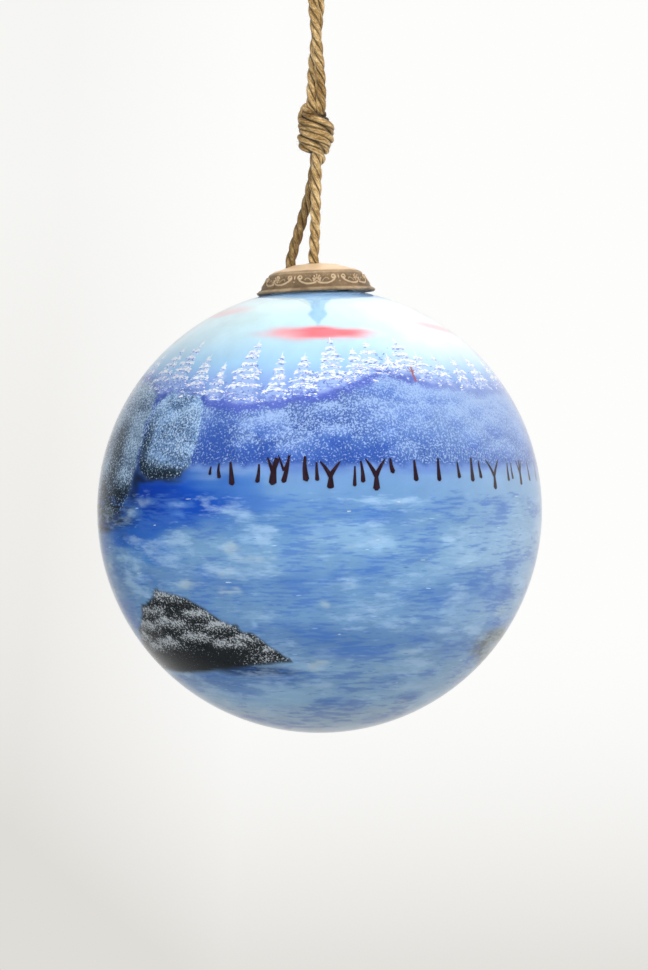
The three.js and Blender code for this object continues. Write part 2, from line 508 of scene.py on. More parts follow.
def runPoints(side):
    bottom = knotHigh.z + gap
    points = []
    for i in range(hanger["turnPoints"]):
        angle = math.pi * i / hanger["turnPoints"]
        x = side * hanger["twistOffset"] * math.cos(angle)
        y = -side * hanger["pairOffset"] * math.sin(angle)
        height = bottom + (eyeBottom - gap - bottom) * i / hanger["turnPoints"]
        points.append((x, y, height))
    return [(side * 0.9 * mm, 0, bottom - 4 * mm), *points]


def eyePoints():
    offset, radius = hanger["pairOffset"], hanger["eyeRadius"]
    centre = rope["diameter"] / 2 - radius
    half = [
        (offset, 0, eyeBottom),
        (offset, -0.18 * mm, eyeBottom + 1.5 * mm),
        (offset + 0.8 * mm, -0.3 * mm, eyeBottom + 4.4 * mm),
        (offset + 2.7 * mm, -0.2 * mm, eyeBottom + 8 * mm),
        (radius * 0.88, 0, centre - radius * 0.58),
        (radius, 0, centre),
        (radius * 0.707, 0, centre + radius * 0.707),
    ]
    left = [(-x, -y, z) for x, y, z in half]
    return [*left, (0, 0, centre + radius), *half[::-1]]


def makeHanger():
    line = smoothLine([*runPoints(1), *eyePoints(), *runPoints(-1)[::-1]], rope["step"])
    frames = turnFrames(line)
    top = [i for i, p in enumerate(line) if p.z >= eyeBottom]
    first, last = top[0], top[-1]
    parts = {"rightRun": (0, first), "loopEye": (first, last), "leftRun": (last, len(line) - 1)}
    made = {}
    for name, (low, high) in parts.items():
        stretch = line[low : high + 1]
        start = lineLength(line[: low + 1])
        made[name] = ropePiece(name, stretch, frames[low : high + 1], start)
        made[name + "Line"] = stretch
    return made


hung = makeHanger()
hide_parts("right_run")
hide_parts("left_run")
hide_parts("loop_eye")
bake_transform(hung["loopEye"])
for name in ("rightRun", "leftRun"):
    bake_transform(hung[name])
print("hanger laid")

# The two tails, from the knot inside the neck up through the cap to the rope knot.
tails = {
    "endKnotX": -3 * mm,
    "endKnotTop": shoulderZ - 12 * mm,
    "frontRise": [(-0.45, -2.0, -26), (-0.2, -2.1, -17), (0.05, -2.0, -8), (0.1, -1.8, -0.3)],
    "backShadow": 0.42,  # the back tail hangs in the front one's shade
    "backRise": [(-5.05, 1.7, -23), (-2.55, 1.9, -14), (-0.9, 2.0, -6), (-0.3, 1.8, -0.3)],
}


def tailLine(hole, side, rise):
    x = tails["endKnotX"] + side * hanger["pairOffset"]
    low = tails["endKnotTop"]
    inside = [
        (x, 0, low - 2 * mm),
        (x, 0, low + rope["diameter"]),
        (*hole, crestZ - cap["wall"] - cap["crown"] / 2),
        (*hole, crestZ + gap),
    ]
    points = [capFrame @ Vector(p) for p in inside]
    points += [Vector((a * mm, b * mm, knotLow.z + c * mm)) for a, b, c in rise]
    points.append(Vector((points[-1].x * 0.8, points[-1].y * 0.6, knotLow.z + 4 * mm)))
    return smoothLine(points, rope["step"])


def makeTail(name, node, hole, side, rise, start):
    line = tailLine(hole, side, rise)
    piece = ropePiece(name, line, turnFrames(line), start)
    shadow = tails["backShadow"] if side < 0 else 0.0
    pointValues(piece.data, "shadow", np.full(len(piece.data.vertices), shadow))
    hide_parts(node)
    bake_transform(piece)


makeTail("frontTail", "front_tail", cap["frontHole"], 1, tails["frontRise"], 0)
makeTail("backTail", "back_tail", cap["backHole"], -1, tails["backRise"], 5 * mm)
print("tails laid")

# The rope knot, tied in both runs together: two ropes side by side wind down round the middle.
knot = {
    "turns": 1.95,
    "secondTurns": 1.5,
    "frontDrop": 7.4 * mm,  # of a turn, across the front
    "backDrop": -1.3 * mm,
    "topLeft": 6.7 * mm,  # where the first turn meets the left side
    "spacing": 3.3 * mm,  # from one rope to the other
    "lay": 25 * mm,  # the strands open up where the rope is bent this hard
    "reach": 4.6 * mm,  # of a rope's middle from the knot's axis
    "halfHeight": 8.6 * mm,
    "pinch": 0.55,  # how much the reach falls at both ends
    "lean": 0.06,  # of the knot's axis to the right, for each step up
}
# single crossings that cover the knot's back and ends, in mm from its middle
knotCrossings = [
    [(1.5, 3.2, -1), (-2.6, 3.4, -2.8), (-4.5, 0.8, -4.6), (-3.9, -1.6, -5.9), (-1.6, -1.4, -7),
     (0.8, 0.4, -6.8)],
    [(-1.2, 1.8, 7.2), (-3.4, 0.6, 6.9), (-4.4, -0.2, 5.2), (-4.4, 1.2, 2.8), (-2.4, 3, 1)],
    [(1.4, 1.2, 2.2), (3.3, 3, 2.4), (1.2, 4.35, 2.7), (-1, 4.4, 3), (-3, 3.3, 3.3), (-2.4, 0.6, 4)],
    [(0.6, 1.6, 4.6), (1.8, 3.3, 4.9), (0.5, 4, 5.3), (-1.3, 3.75, 5.8), (-2.8, 2.5, 6.2), (-2.2, 0.8, 6.4)],
]


def knotReach(height):
    level = np.clip(np.abs(height) / knot["halfHeight"], 0, 1)
    return knot["reach"] * (1 - knot["pinch"] * level**3.2)


def knotTurn(top, turns):
    # one rope of the knot, from the left side at the top, round the front first
    count = 14
    points = []
    for i in range(int(count * turns) + 1):
        share = i / count
        whole, part = divmod(share, 1)
        front = min(part * 2, 1)
        back = max(part * 2 - 1, 0)
        height = top - whole * (knot["frontDrop"] + knot["backDrop"])
        height -= knot["frontDrop"] * front + knot["backDrop"] * back
        angle = math.pi + share * 2 * math.pi
        reach = knotReach(height)
        x = reach * math.cos(angle) + knot["lean"] * height
        points.append(Vector((x, reach * math.sin(angle), height)))
    first, last = points[0], points[-1]
    points.insert(0, Vector((first.x * 0.35, 1.6 * mm, first.z + 1.2 * mm)))
    points.append(Vector((last.x * 0.4, last.y * 0.4, last.z - 0.6 * mm)))
    return points


def makeRopeKnot():
    bm = bmesh.new()
    loops = [
        knotTurn(knot["topLeft"], knot["turns"]),
        knotTurn(knot["topLeft"] - knot["spacing"], knot["secondTurns"]),
        *[[Vector(p) * mm for p in crossing] for crossing in knotCrossings],
    ]
    for index, points in enumerate(loops):
        line = smoothLine([knotCentre + p for p in points], rope["step"])
        layRope(bm, line, turnFrames(line), index * 4 * mm, rope["radius"], knot["lay"])
    piece = finishRope(bm, "ropeKnot")
    # painted shade where one rope meets the next
    points = meshPoints(piece.data) - np.array(knotCentre)
    reach = knotReach(points[:, 2])
    radial = np.hypot(points[:, 0] - knot["lean"] * points[:, 2], points[:, 1])
    pointValues(piece.data, "shadow", smoothStep(reach + 1.5 * mm, reach + 0.7 * mm, radial))
    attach(piece, "knot")
    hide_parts("rope_knot")


endKnot = {
    "turns": 2,
    "turnPoints": 11,
    "radius": 3.6 * mm,
    "height": 3.5 * mm,  # from the first turn to the last
}


def makeEndKnot():
    low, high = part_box("end_knot")
    centre = (low + high) / 2
    bm = bmesh.new()
    points = [centre + Vector((1.5 * mm, 0, 2.2 * mm))]
    count = endKnot["turns"] * endKnot["turnPoints"]
    for i in range(count + 1):
        angle = 2 * math.pi * i / endKnot["turnPoints"]
        out = Vector((math.cos(angle), math.sin(angle), 0)) * endKnot["radius"]
        points.append(centre + out + Vector((0, 0, endKnot["height"] * (0.5 - i / count))))
    points.append(centre - Vector((0, 0, 1.2 * mm)))
    line = smoothLine(points, rope["step"] * 1.5)
    layRope(bm, line, turnFrames(line), 0, rope["radius"])
    piece = finishRope(bm, "endKnot")
    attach(piece, "ball")
    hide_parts("end_knot")


makeRopeKnot()
makeEndKnot()
print("knots tied")

# The blown glass.

neckFoot = math.sqrt(ball["radius"] ** 2 - ball["neckRadius"] ** 2)
neckTop = neckFoot + ball["neckRise"]
innerRadius = ball["radius"] - ball["glass"]


def spinProfile(profile, steps, parts=20):
    # turns a chain of (radius, height) points once round the Z axis, one slice of it repeated
    wedge = bmesh.new()
    verts = [wedge.verts.new((r, 0, z)) for r, z in profile]
    edges = [wedge.edges.new(pair) for pair in zip(verts, verts[1:])]
    turn = {"cent": (0, 0, 0), "axis": (0, 0, 1), "angle": 2 * math.pi / parts}
    bmesh.ops.spin(wedge, geom=verts + edges, steps=steps // parts, **turn)
    mesh = bpy.data.meshes.new("slice")
    wedge.to_mesh(mesh)
    wedge.free()
    bm = bmesh.new()
    for _ in range(parts):
        bm.from_mesh(mesh)
        mesh.transform(Matrix.Rotation(2 * math.pi / parts, 4, "Z"))
    bpy.data.meshes.remove(mesh)
    bmesh.ops.remove_doubles(bm, verts=bm.verts, dist=0.002 * mm)
    bmesh.ops.recalc_face_normals(bm, faces=bm.faces)
    return bm


def arc(radius, first, last, count):
    # from one angle to another, both from the top, in degrees
    angles = np.radians(np.linspace(first, last, count))
    return [(radius * math.sin(a), radius * math.cos(a)) for a in angles]


def makeGlassMaterial():
    material, n, shader, output = newMaterial("blownGlass")
    point = n.objectPoint()
    haze = n.noise(point, 26.0, 3.0, 0.5)
    look = {
        "Base Color": (0.985, 0.993, 0.996, 1),
        "Transmission Weight": 1.0,
        "IOR": 1.5,
        "Roughness": n.remap(haze, 0.35, 0.75, 0.0, 0.006),
        "Normal": n.bump(n.noise(point, 14.0, 1.0, 0.4), 0.12, 0.4 * mm),
    }
    n.fill(shader, look)
    # light goes through unbent to the painting, so that it stays bright
    clear = n.add("ShaderNodeBsdfTransparent", {"Color": (0.97, 0.985, 0.99, 1)})
    path = n.add("ShaderNodeLightPath").outputs
    through = n.maths("MAXIMUM", path["Is Shadow Ray"], path["Is Diffuse Ray"])
    mixed = n.add("ShaderNodeMixShader", {0: through, 1: shader.outputs[0], 2: clear.outputs[0]})
    n.feed(output.inputs["Surface"], mixed.outputs[0])
    return material


def makeInnerMaterial():
    # the inside of the wall, where the paint touches the glass and nothing is mirrored
    material, n, shader, output = newMaterial("glassAgainstPaint")
    tint = n.mix(n.noise(n.objectPoint(), 20.0), (0.99, 0.995, 1, 1), (0.98, 0.99, 0.995, 1))
    clear = n.add("ShaderNodeBsdfTransparent", {"Color": tint})
    n.feed(output.inputs["Surface"], clear.outputs[0])
    n.tree.nodes.remove(shader)
    return material


def makeGlassBall():
    lip = ball["neckRadius"] - ball["glass"]
    innerEdge = math.degrees(math.asin(lip / innerRadius))
    outerEdge = math.degrees(math.asin(ball["neckRadius"] / ball["radius"]))
    soft = 0.35 * mm
    profile = [
        *arc(innerRadius, 180, innerEdge, 90),
        (lip, neckTop - soft),
        (lip + soft, neckTop),
        (ball["neckRadius"] - soft, neckTop),
        (ball["neckRadius"], neckTop - soft),
        (ball["neckRadius"], neckFoot + 0.3 * mm),
        *arc(ball["radius"], outerEdge + 0.3, 180, 130),
    ]
    bm = spinProfile(profile, 260)
    for face in bm.faces:
        centre = face.calc_center_median()
        face.material_index = int(centre.length < innerRadius + 0.3 * mm)
    bm.transform(ballFrame)
    piece = newPiece("glassBall", bm, [makeGlassMaterial(), makeInnerMaterial()])
    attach(piece, "ball")
    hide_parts("glass_ball")


makeGlassBall()
print("glass blown")

# The painting on the inside of the glass.

painting = {
    "radius": innerRadius - 0.28 * mm,
    "film": 0.4 * mm,
    "strokeRadius": innerRadius - 0.12 * mm,
    "columns": 400,
    "rows": 220,
    "frontShare": 0.4,  # how much closer the columns stand at the front
    "middleShare": 0.16,
}

# Heights and places are in degrees: up from the level of the ball's middle, right from the front.
skyTones = [
    (30, (126, 152, 216)),
    (35, (142, 174, 228)),
    (41, (168, 208, 239)),
    (50, (196, 228, 242)),
    (58, (212, 240, 245)),
    (66, (230, 252, 251)),
    (71, (222, 243, 250)),
    (74, (176, 208, 246)),
    (90, (160, 196, 242)),
]
fieldTones = [
    (-90, (172, 194, 212)),
    (-80, (170, 192, 210)),
    (-72, (158, 186, 208)),
    (-64, (158, 186, 210)),
    (-56, (148, 186, 216)),
    (-49, (140, 176, 208)),
    (-42, (134, 170, 204)),
    (-36, (98, 136, 184)),
    (-27, (114, 154, 196)),
    (-18, (108, 148, 192)),
    (-10, (122, 162, 200)),
    (0, (104, 144, 188)),
    (6, (108, 148, 194)),
    (9, (112, 148, 198)),
    (12, (88, 122, 186)),
]
pinePlaces = [
    (-73, 44), (-60, 46), (-51, 48.5), (-41, 43), (-33, 40), (-23.5, 48), (-13, 43.5),
    (-5, 43), (4, 49), (12, 45), (17.5, 47.5), (24, 43), (30, 49), (36, 44), (43, 43),
    (52, 42), (62, 43), (75, 42),
]
ridgeLine = [
    (-180, 33), (-150, 35), (-120, 32), (-98, 36), (-80, 37), (-66, 33), (-55, 31), (-40, 30.5),
    (-30, 28), (-20, 27.5), (-10, 29), (0, 31), (8, 33), (15, 35.5), (22, 37), (30, 36.5),
    (38, 34), (45, 33), (55, 32.5), (70, 33), (95, 35), (125, 31), (152, 34), (180, 33),
]
trunkPlaces = [
    # where, foot, top, thickness in mm, lean in degrees, with a fork or not
    (-29, 9.4, 11.4, 0.8, 0.2, 0), (-26.2, 8.6, 12.2, 1.0, -0.3, 0), (-22.6, 7, 12.5, 1.5, -0.8, 0),
    (-15.8, 7.5, 12, 1.1, 0.2, 0), (-11.8, 7.2, 13.6, 1.9, 0.8, 1), (-9, 7.6, 14.2, 1.3, 1.2, 1),
    (-3.3, 8, 14, 1.5, -0.3, 0), (-0.5, 8, 12.5, 1.0, -0.2, 0), (2.8, 6.2, 12.6, 1.7, 0.4, 2),
    (8.9, 6.6, 11.5, 0.9, 0.2, 0), (11.1, 7.6, 12.8, 1.1, -0.5, 0), (14.5, 5.8, 13.2, 1.7, 0.2, 2),
    (19, 10, 13.5, 1.2, -0.5, 0), (25.3, 8, 13, 1.3, -0.2, 0), (32, 8, 13.5, 1.2, 0.2, 0),
    (38.4, 8.7, 12.6, 1.0, -0.2, 0), (42.9, 7.9, 13.7, 1.2, 0.3, 0), (46, 8.6, 12.8, 1.0, -0.3, 0),
    (51.3, 6, 13, 1.3, 0.2, 2), (57.8, 8, 12.4, 1.0, 0.3, 0), (60, 8.4, 12.4, 0.8, 0.1, 0),
    (64.6, 7, 13, 1.3, 0.4, 1), (71, 8, 12.6, 1.2, -0.3, 0), (78, 8, 12.6, 1.0, 0.3, 0),
]
rockOutline = [
    (-102, -46), (-93, -40), (-85, -37.5), (-78, -35.5), (-66, -29), (-57, -24), (-50, -20.5),
    (-44, -20.5), (-37, -24), (-30, -28), (-24, -31), (-17, -34.5), (-9, -41.5),
]
rockLobes = [
    # where, height, width, how tall: the snowy humps on a rock
    (-46, -22.6, 8, 2.4), (-57, -27, 6, 2.2), (-37, -27.5, 6, 2), (-50, -30.5, 8, 2.2),
    (-64, -31.5, 7, 2.2), (-31, -31, 5.5, 2), (-41, -34.5, 6, 2.2), (-56, -36.5, 7, 2.4),
    (-72, -35, 6, 2), (-22.5, -34.6, 5, 1.8), (-30, -36.5, 6, 1.8), (-14.5, -38, 4, 1.4),
    (-66, -38, 6, 2),
]
nearTrees = [
    # middle, half size, colour, squareness, dark side from -1 to 1
    ((-45, 20), (10.8, 12.2), (122, 158, 206), 3.0, -0.8),
    ((-76, 17), (20, 19), (122, 146, 172), 3.4, 0.35),
    ((150, 19), (13, 11), (112, 146, 190), 3.0, -0.8),
    ((-152, 18), (12, 11), (120, 152, 194), 3.0, -0.8),
]
dripWidths = [
    # height, half width of the blue drip under the cap
    (55, 0.3), (57, 0.9), (59.5, 3.6), (61, 5.2), (62.5, 4.6), (64, 3.5), (66, 4.6), (68, 5.8),
    (70, 8.5), (71.5, 14), (73.5, 60),
]


def angleBetween(a, b):
    return (a - b + 180) % 360 - 180


def tones(lat, table):
    heights = [row[0] for row in table]
    return np.stack([np.interp(lat, heights, [row[1][k] for row in table]) for k in range(3)], 1)


def along(x, chain):
    # the height of a chain of (place, height) points
    places, heights = zip(*chain)
    return np.interp(x, places, heights)


def band(x, low, full, stillFull, high):
    # 1 in the middle of a band, fading to 0 at low and high
    return smoothStep(low, full, x) * smoothStep(high, stillFull, x)


def over(base, mask, colour):
    mask = np.clip(mask, 0, 1)[:, None]
    return base * (1 - mask) + np.asarray(colour, float) * mask


def spot(lon, lat, centre, size, soft=0.5):
    # a soft patch, 1 in its middle and 0 outside
    across = angleBetween(lon, centre[0]) / size[0]
    up = (lat - centre[1]) / size[1]
    return 1 - smoothStep(1 - soft, 1 + soft, np.hypot(across, up))


def ridgeHeight(lon):
    return along(lon, ridgeLine)


def addFarPines():
    # the row of pines goes on round the back
    places = list(pinePlaces)
    lon = 84
    while lon < 278:
        places.append((angleBetween(lon, 0), random.uniform(41, 49)))
        lon += random.uniform(6.5, 11)
    return places


def backTrunks():
    places = list(trunkPlaces)
    lon = 84
    while lon < 268:
        foot = random.uniform(6.5, 9)
        kind = random.choice((0, 0, 0, 1, 2))
        top = foot + random.uniform(3.8, 5.6)
        thick = random.uniform(0.9, 1.6)
        places.append((angleBetween(lon, 0), foot, top, thick, random.uniform(-0.6, 0.6), kind))
        lon += random.uniform(4, 8.5)
    return places


class PaintLayers:
    # what the brush has laid so far, one value for each point of the painted film
    def __init__(self, points):
        self.lon = np.degrees(np.arctan2(points[:, 0], -points[:, 1]))
        self.lat = np.degrees(np.arcsin(np.clip(points[:, 2] / painting["radius"], -1, 1)))
        self.fine = softNoise(points, 2.4 * mm, 3) - 0.5
        self.broad = softNoise(points, 9 * mm, 5) - 0.5
        level = points * np.array((1, 1, 4.5))
        self.streak = softNoise(level, 17 * mm, 7) - 0.5
        self.thinStreak = softNoise(level, 7 * mm, 9) - 0.5
        self.ground = np.zeros((len(points), 3))
        self.frostTint = np.tile((164.0, 188.0, 226.0), (len(points), 1))
        self.frost = np.zeros(len(points))
        self.shadeTint = np.tile((52.0, 82.0, 165.0), (len(points), 1))
        self.shade = np.zeros(len(points))
        self.lightStroke = np.zeros(len(points))
        self.darkStroke = np.zeros(len(points))

    def lay(self, mask, colour):
        self.ground = over(self.ground, mask, colour)

    def cover(self, mask, frost=None, shade=None):
        mask = np.clip(mask, 0, 1)
        if frost is not None:
            self.frost = self.frost * (1 - mask) + frost * mask
        if shade is not None:
            self.shade = self.shade * (1 - mask) + shade * mask


def paintSky(p):
    lat = p.lat + p.streak * 1.5
    p.ground = tones(lat, skyTones)
    top = smoothStep(73, 67, p.lat)
    right = band(p.lon, 5, 55, 100, 150)
    p.lay(right * smoothStep(34, 52, lat) * top * 0.85, (251, 254, 254))
    p.lay(smoothStep(-20, -60, p.lon) * smoothStep(38, 50, lat) * top * 0.4, (226, 240, 247))
    share = np.abs(p.lon + 0.8 + p.fine * 1.5) / along(p.lat, dripWidths)
    drip = smoothStep(1.25, 0.7, share) * smoothStep(54.5, 57, p.lat)
    p.lay(drip * 0.8, (158, 206, 250))
    p.lay(drip * smoothStep(0.9, 0.3, share) * 0.35, (178, 226, 252))
    p.lay(smoothStep(71.5, 75, p.lat + p.fine * 2) * 0.7, (150, 186, 238))
    drifting = p.lat + p.streak * 4 + p.thinStreak * 2
    slanted = p.lat + 0.12 * (p.lon - 66)
    wavy = p.lat + p.thinStreak * 1.6
    for height, centre, size, soft, strength, colour in (
        (drifting, (-68, 63), (21, 2.6), 0.6, 0.6, (252, 196, 200)),
        (drifting, (165, 57), (24, 2.4), 0.6, 0.6, (250, 170, 178)),
        (drifting, (-128, 54), (17, 2.0), 0.6, 0.5, (250, 180, 186)),
        (slanted, (66, 55), (15, 1.5), 0.6, 0.7, (252, 186, 192)),
        (wavy, (-1, 51.9), (22, 2.6), 0.55, 0.75, (252, 178, 186)),
        (wavy, (1.5, 52.2), (17, 2.1), 0.4, 0.95, (250, 118, 128)),
    ):
        p.lay(spot(p.lon, height, centre, size, soft) * strength, colour)
    # the middle cloud's peak and its pale left end
    peak = smoothStep(56, 51, p.lat) * smoothStep(9, 1.5, np.abs(p.lon - 2.6))
    p.lay(peak * smoothStep(49.5, 52, p.lat) * 0.7, (250, 132, 142))
    p.lay(spot(p.lon, wavy, (-13, 51.6), (7, 1.8), 0.6) * 0.5, (252, 190, 196))


def paintPines(p, places):
    for lon, top in places:
        foot = ridgeHeight(lon) - 2
        half = 3.6 + (top - 40) * 0.28
        down = np.clip((top - p.lat) / (top - foot), 0, 1)
        boughs = 1 + 0.35 * np.abs(((down * 6) % 1) - 0.2)
        across = np.abs(angleBetween(p.lon, lon) + p.fine * 2.2)
        width = (half * down**0.85 + 0.25) * boughs * 0.8
        inside = smoothStep(1.2, 0.7, across / width) * (p.lat < top) * smoothStep(foot - 2, foot + 2, p.lat)
        p.lay(inside * 0.42, (206, 220, 250))
        p.cover(inside * 0.85, frost=0.3 + 0.3 * ((down * 6) % 1), shade=0.2)


def paintBushes(p):
    ridge = ridgeHeight(p.lon) + p.fine * 2.4
    height = np.clip((p.lat - 12) / (ridge - 12), 0, 1)
    mass = smoothStep(ridge + 0.9, ridge - 0.9, p.lat) * smoothStep(10.5, 13, p.lat + p.fine * 2)
    steps = [(0, (44, 74, 146)), (0.3, (66, 98, 166)), (0.7, (88, 116, 180)), (1, (104, 126, 186))]
    bush = tones(height, steps)
    right = band(p.lon, 0, 50, 90, 140)
    bush = over(bush, right * (0.3 + 0.4 * height), (160, 188, 232))
    middle = band(p.lon, -34, -22, 4, 16)
    bush = over(bush, middle * 0.3, (30, 54, 120))
    left = band(p.lon, -150, -100, -40, -10)
    bush = over(bush, left * 0.3, (84, 112, 182))
    p.lay(mass, bush)
    p.cover(mass, frost=0.5 + 0.1 * height, shade=0.4 - 0.2 * height)
    clumps = []
    for _ in range(170):
        lon = random.uniform(-180, 180)
        share = random.random()
        top = float(ridgeHeight(lon))
        clumps.append((13.5 + share * (top - 15.5), lon, random.uniform(3, 7.5), random.uniform(2.2, 4.2)))
    for lat, lon, wide, tall in sorted(clumps, reverse=True):
        inside = spot(p.lon + p.fine * 3, p.lat + p.fine * 1.5, (lon, lat), (wide, tall), 0.18) * mass
        rise = np.clip((p.lat - lat + tall) / (2 * tall), 0, 1)
        tone = 0.62 if lat > 22 else 0.5
        p.lay(inside * 0.35 * (1 - rise), (78, 112, 196))
        p.lay(inside * 0.35 * rise**1.5, (156, 184, 228))
        p.cover(inside * 0.75, frost=0.38 + (tone - 0.14) * rise**1.3, shade=0.5 * (1 - rise) ** 1.4)
    # the line of violet shadow along the tops
    shadowLine = smoothStep(2.3, 0.4, np.abs(p.lat - ridge + 0.2 + p.broad * 2))
    strength = 0.55 * smoothStep(60, 30, np.abs(p.lon + 10)) + 0.28
    p.lay(shadowLine * strength, (84, 98, 190))
    p.cover(shadowLine * 0.6, frost=0.12, shade=0.3)
    for lon, lat, wide, tall in (
        (-29, 18, 5, 9), (7, 15.5, 13, 4), (-17, 15, 8, 2.5),
        (140, 16, 10, 4), (-120, 16, 9, 5), (172, 17, 7, 4),
    ):
        dark = spot(p.lon + p.fine * 4, p.lat + p.fine * 3, (lon, lat), (wide, tall), 0.5)
        p.lay(dark * 0.55 * mass, (38, 74, 158))
        p.cover(dark * 0.5 * mass, frost=0.24, shade=0.4)


def paintClump(p, centre, size, tint, corner, darkSide):
    # a round snowy tree near the front, dark underneath and on the side away from the light
    across = angleBetween(p.lon, centre[0]) / size[0]
    up = (p.lat - centre[1]) / size[1]
    reach = (np.abs(across) ** corner + np.abs(up) ** corner) ** (1 / corner) + p.fine * 0.12
    inside = smoothStep(1.03, 0.95, reach)
    p.lay(smoothStep(1.14, 1.0, reach) * 0.5, (46, 76, 160))
    p.lay(inside, tint)
    p.frostTint = over(p.frostTint, inside, (196, 220, 244))
    p.shadeTint = over(p.shadeTint, inside, (22, 36, 48))
    p.cover(inside, frost=0.52 + 0.14 * np.clip(up, 0, 1), shade=0.46 - 0.24 * np.clip(up, 0, 1))
    for _ in range(22):
        x, y = random.uniform(-0.85, 0.85), random.uniform(-0.6, 0.9)
        wide = random.uniform(0.2, 0.36)
        lobe = spot(across * 10, up * 10, (x * 10, y * 10), (wide * 10, wide * 7), 0.4) * inside
        rise = np.clip((up - y) / wide * 0.7 + 0.5, 0, 1)
        p.lay(lobe * (1 - rise) * 0.3, (40, 64, 104))
        p.cover(lobe * 0.7, frost=0.34 + 0.42 * rise, shade=0.62 - 0.36 * rise)
    foot = up - math.copysign(0.25, darkSide) * across + p.broad * 0.4
    low = smoothStep(-0.42, -0.85, foot) * inside
    side = spot(across, up, (darkSide, -0.2), (0.22, 0.5), 0.8) * inside
    dark = np.maximum(low, side * 0.7)
    p.lay(dark * 0.9, (18, 28, 36))
    p.cover(dark * 0.8, frost=0.26, shade=0.6)


def paintField(p):
    lat = p.lat + p.streak * 5 + p.thinStreak * 2
    field = tones(lat, fieldTones)
    right = band(p.lon, 10, 62, 100, 150) * smoothStep(-44, -18, p.lat)
    field = over(field, right * 0.42, (188, 212, 234))
    left = band(p.lon, -140, -95, -60, -25) * smoothStep(-12, 2, p.lat)
    field = over(field, left * 0.5, (62, 108, 182))
    border = smoothStep(13, 9.6, p.lat + p.fine * 1.6)
    p.lay(border, field)
    p.cover(border, frost=0.0, shade=0.0)
    # the thawed blue shade beside the near trees
    for centre, size, colour, strength in (
        ((-44, 2.6), (24, 6.2), (18, 72, 178), 0.95),
        ((-54, 3.2), (13, 4.6), (12, 56, 156), 0.9),
        ((-57, -4.5), (15, 4.6), (26, 84, 182), 0.75),
        ((-47, -10.5), (9, 3.2), (42, 104, 192), 0.6),
        ((-66, -15), (9, 3), (58, 110, 180), 0.5),
        ((-27, 6.6), (9, 2.4), (54, 104, 184), 0.6),
        ((-18, -3.5), (12, 4), (88, 134, 190), 0.5),
        ((4, -5), (9, 2.6), (150, 186, 216), 0.5),
        ((43, -19), (12, 3.2), (94, 138, 190), 0.5),
        ((-75, -1), (17, 4.2), (40, 46, 46), 0.92),
        ((-51, 8.6), (10, 1.3), (14, 28, 50), 0.95),
        ((178, 2), (24, 5), (24, 74, 172), 0.85),
        ((115, 3), (18, 4), (30, 84, 178), 0.7),
    ):
        patch = spot(p.lon + p.broad * 6, p.lat + p.thinStreak * 4, centre, size, 0.5)
        p.lay(patch * strength * smoothStep(11.5, 9.5, p.lat), colour)
    patches = [
        (13, -1, 6, 2.2), (-17, 3, 6, 1.4), (-8, -17, 8, 1.7), (6, -17, 7, 1.5), (-30, -15, 7, 1.8),
        (36, -22, 9, 2), (-52, -18, 6, 1.8), (56, -21, 8, 2), (-14, -47, 9, 2.6), (28, -49, 7, 2.4),
        (-36, -54, 10, 3.2), (45, -55, 8, 2.4), (-62, -52, 7, 2.4), (2, -57, 8, 2), (66, -30, 8, 2),
    ]
    for _ in range(60):
        lon = random.uniform(80, 285)
        lat, wide, tall = random.uniform(-62, 4), random.uniform(5, 10), random.uniform(1.3, 2.6)
        patches.append((angleBetween(lon, 0), lat, wide, tall))
    for lon, centre, wide, tall in patches:
        patch = spot(p.lon + p.broad * 8, p.lat + p.thinStreak * 3 + p.fine, (lon, centre), (wide, tall), 0.7)
        p.lay(patch * 0.38, (66, 110, 186))
        p.darkStroke = np.maximum(p.darkStroke, patch * 0.55)
    below = band(p.lat, -89, -74, 2, 8)
    light = below * (0.4 + 0.7 * np.clip(p.broad + p.streak, -0.4, 0.5))
    dark = below * (0.4 + 0.6 * np.clip(-p.broad - p.streak, -0.3, 0.5))
    p.lightStroke = np.maximum(p.lightStroke, light)
    p.darkStroke = np.maximum(p.darkStroke, dark)
    blotches = [(206, 214, 210), (172, 206, 236), (190, 212, 226)]
    for _ in range(150):
        place = (random.uniform(-180, 180), random.uniform(-64, 3))
        size = (random.uniform(1.6, 4.2), random.uniform(0.6, 1.3))
        patch = spot(p.lon + p.fine * 4, p.lat + p.fine * 1.5, place, size, 0.6) * below
        p.lay(patch * random.uniform(0.25, 0.55), random.choice(blotches))
    # broken ground far to the right
    bank = spot(p.lon + p.fine * 4, p.lat + p.fine * 2 + (p.lon - 80) * 0.12, (80, -38), (19, 5.4), 0.35)
    p.lay(bank * 0.92, (96, 94, 78))
    p.cover(bank * 0.7, frost=0.25, shade=0.5)
    p.shadeTint = over(p.shadeTint, bank, (58, 62, 52))
    p.frostTint = over(p.frostTint, bank, (196, 192, 176))


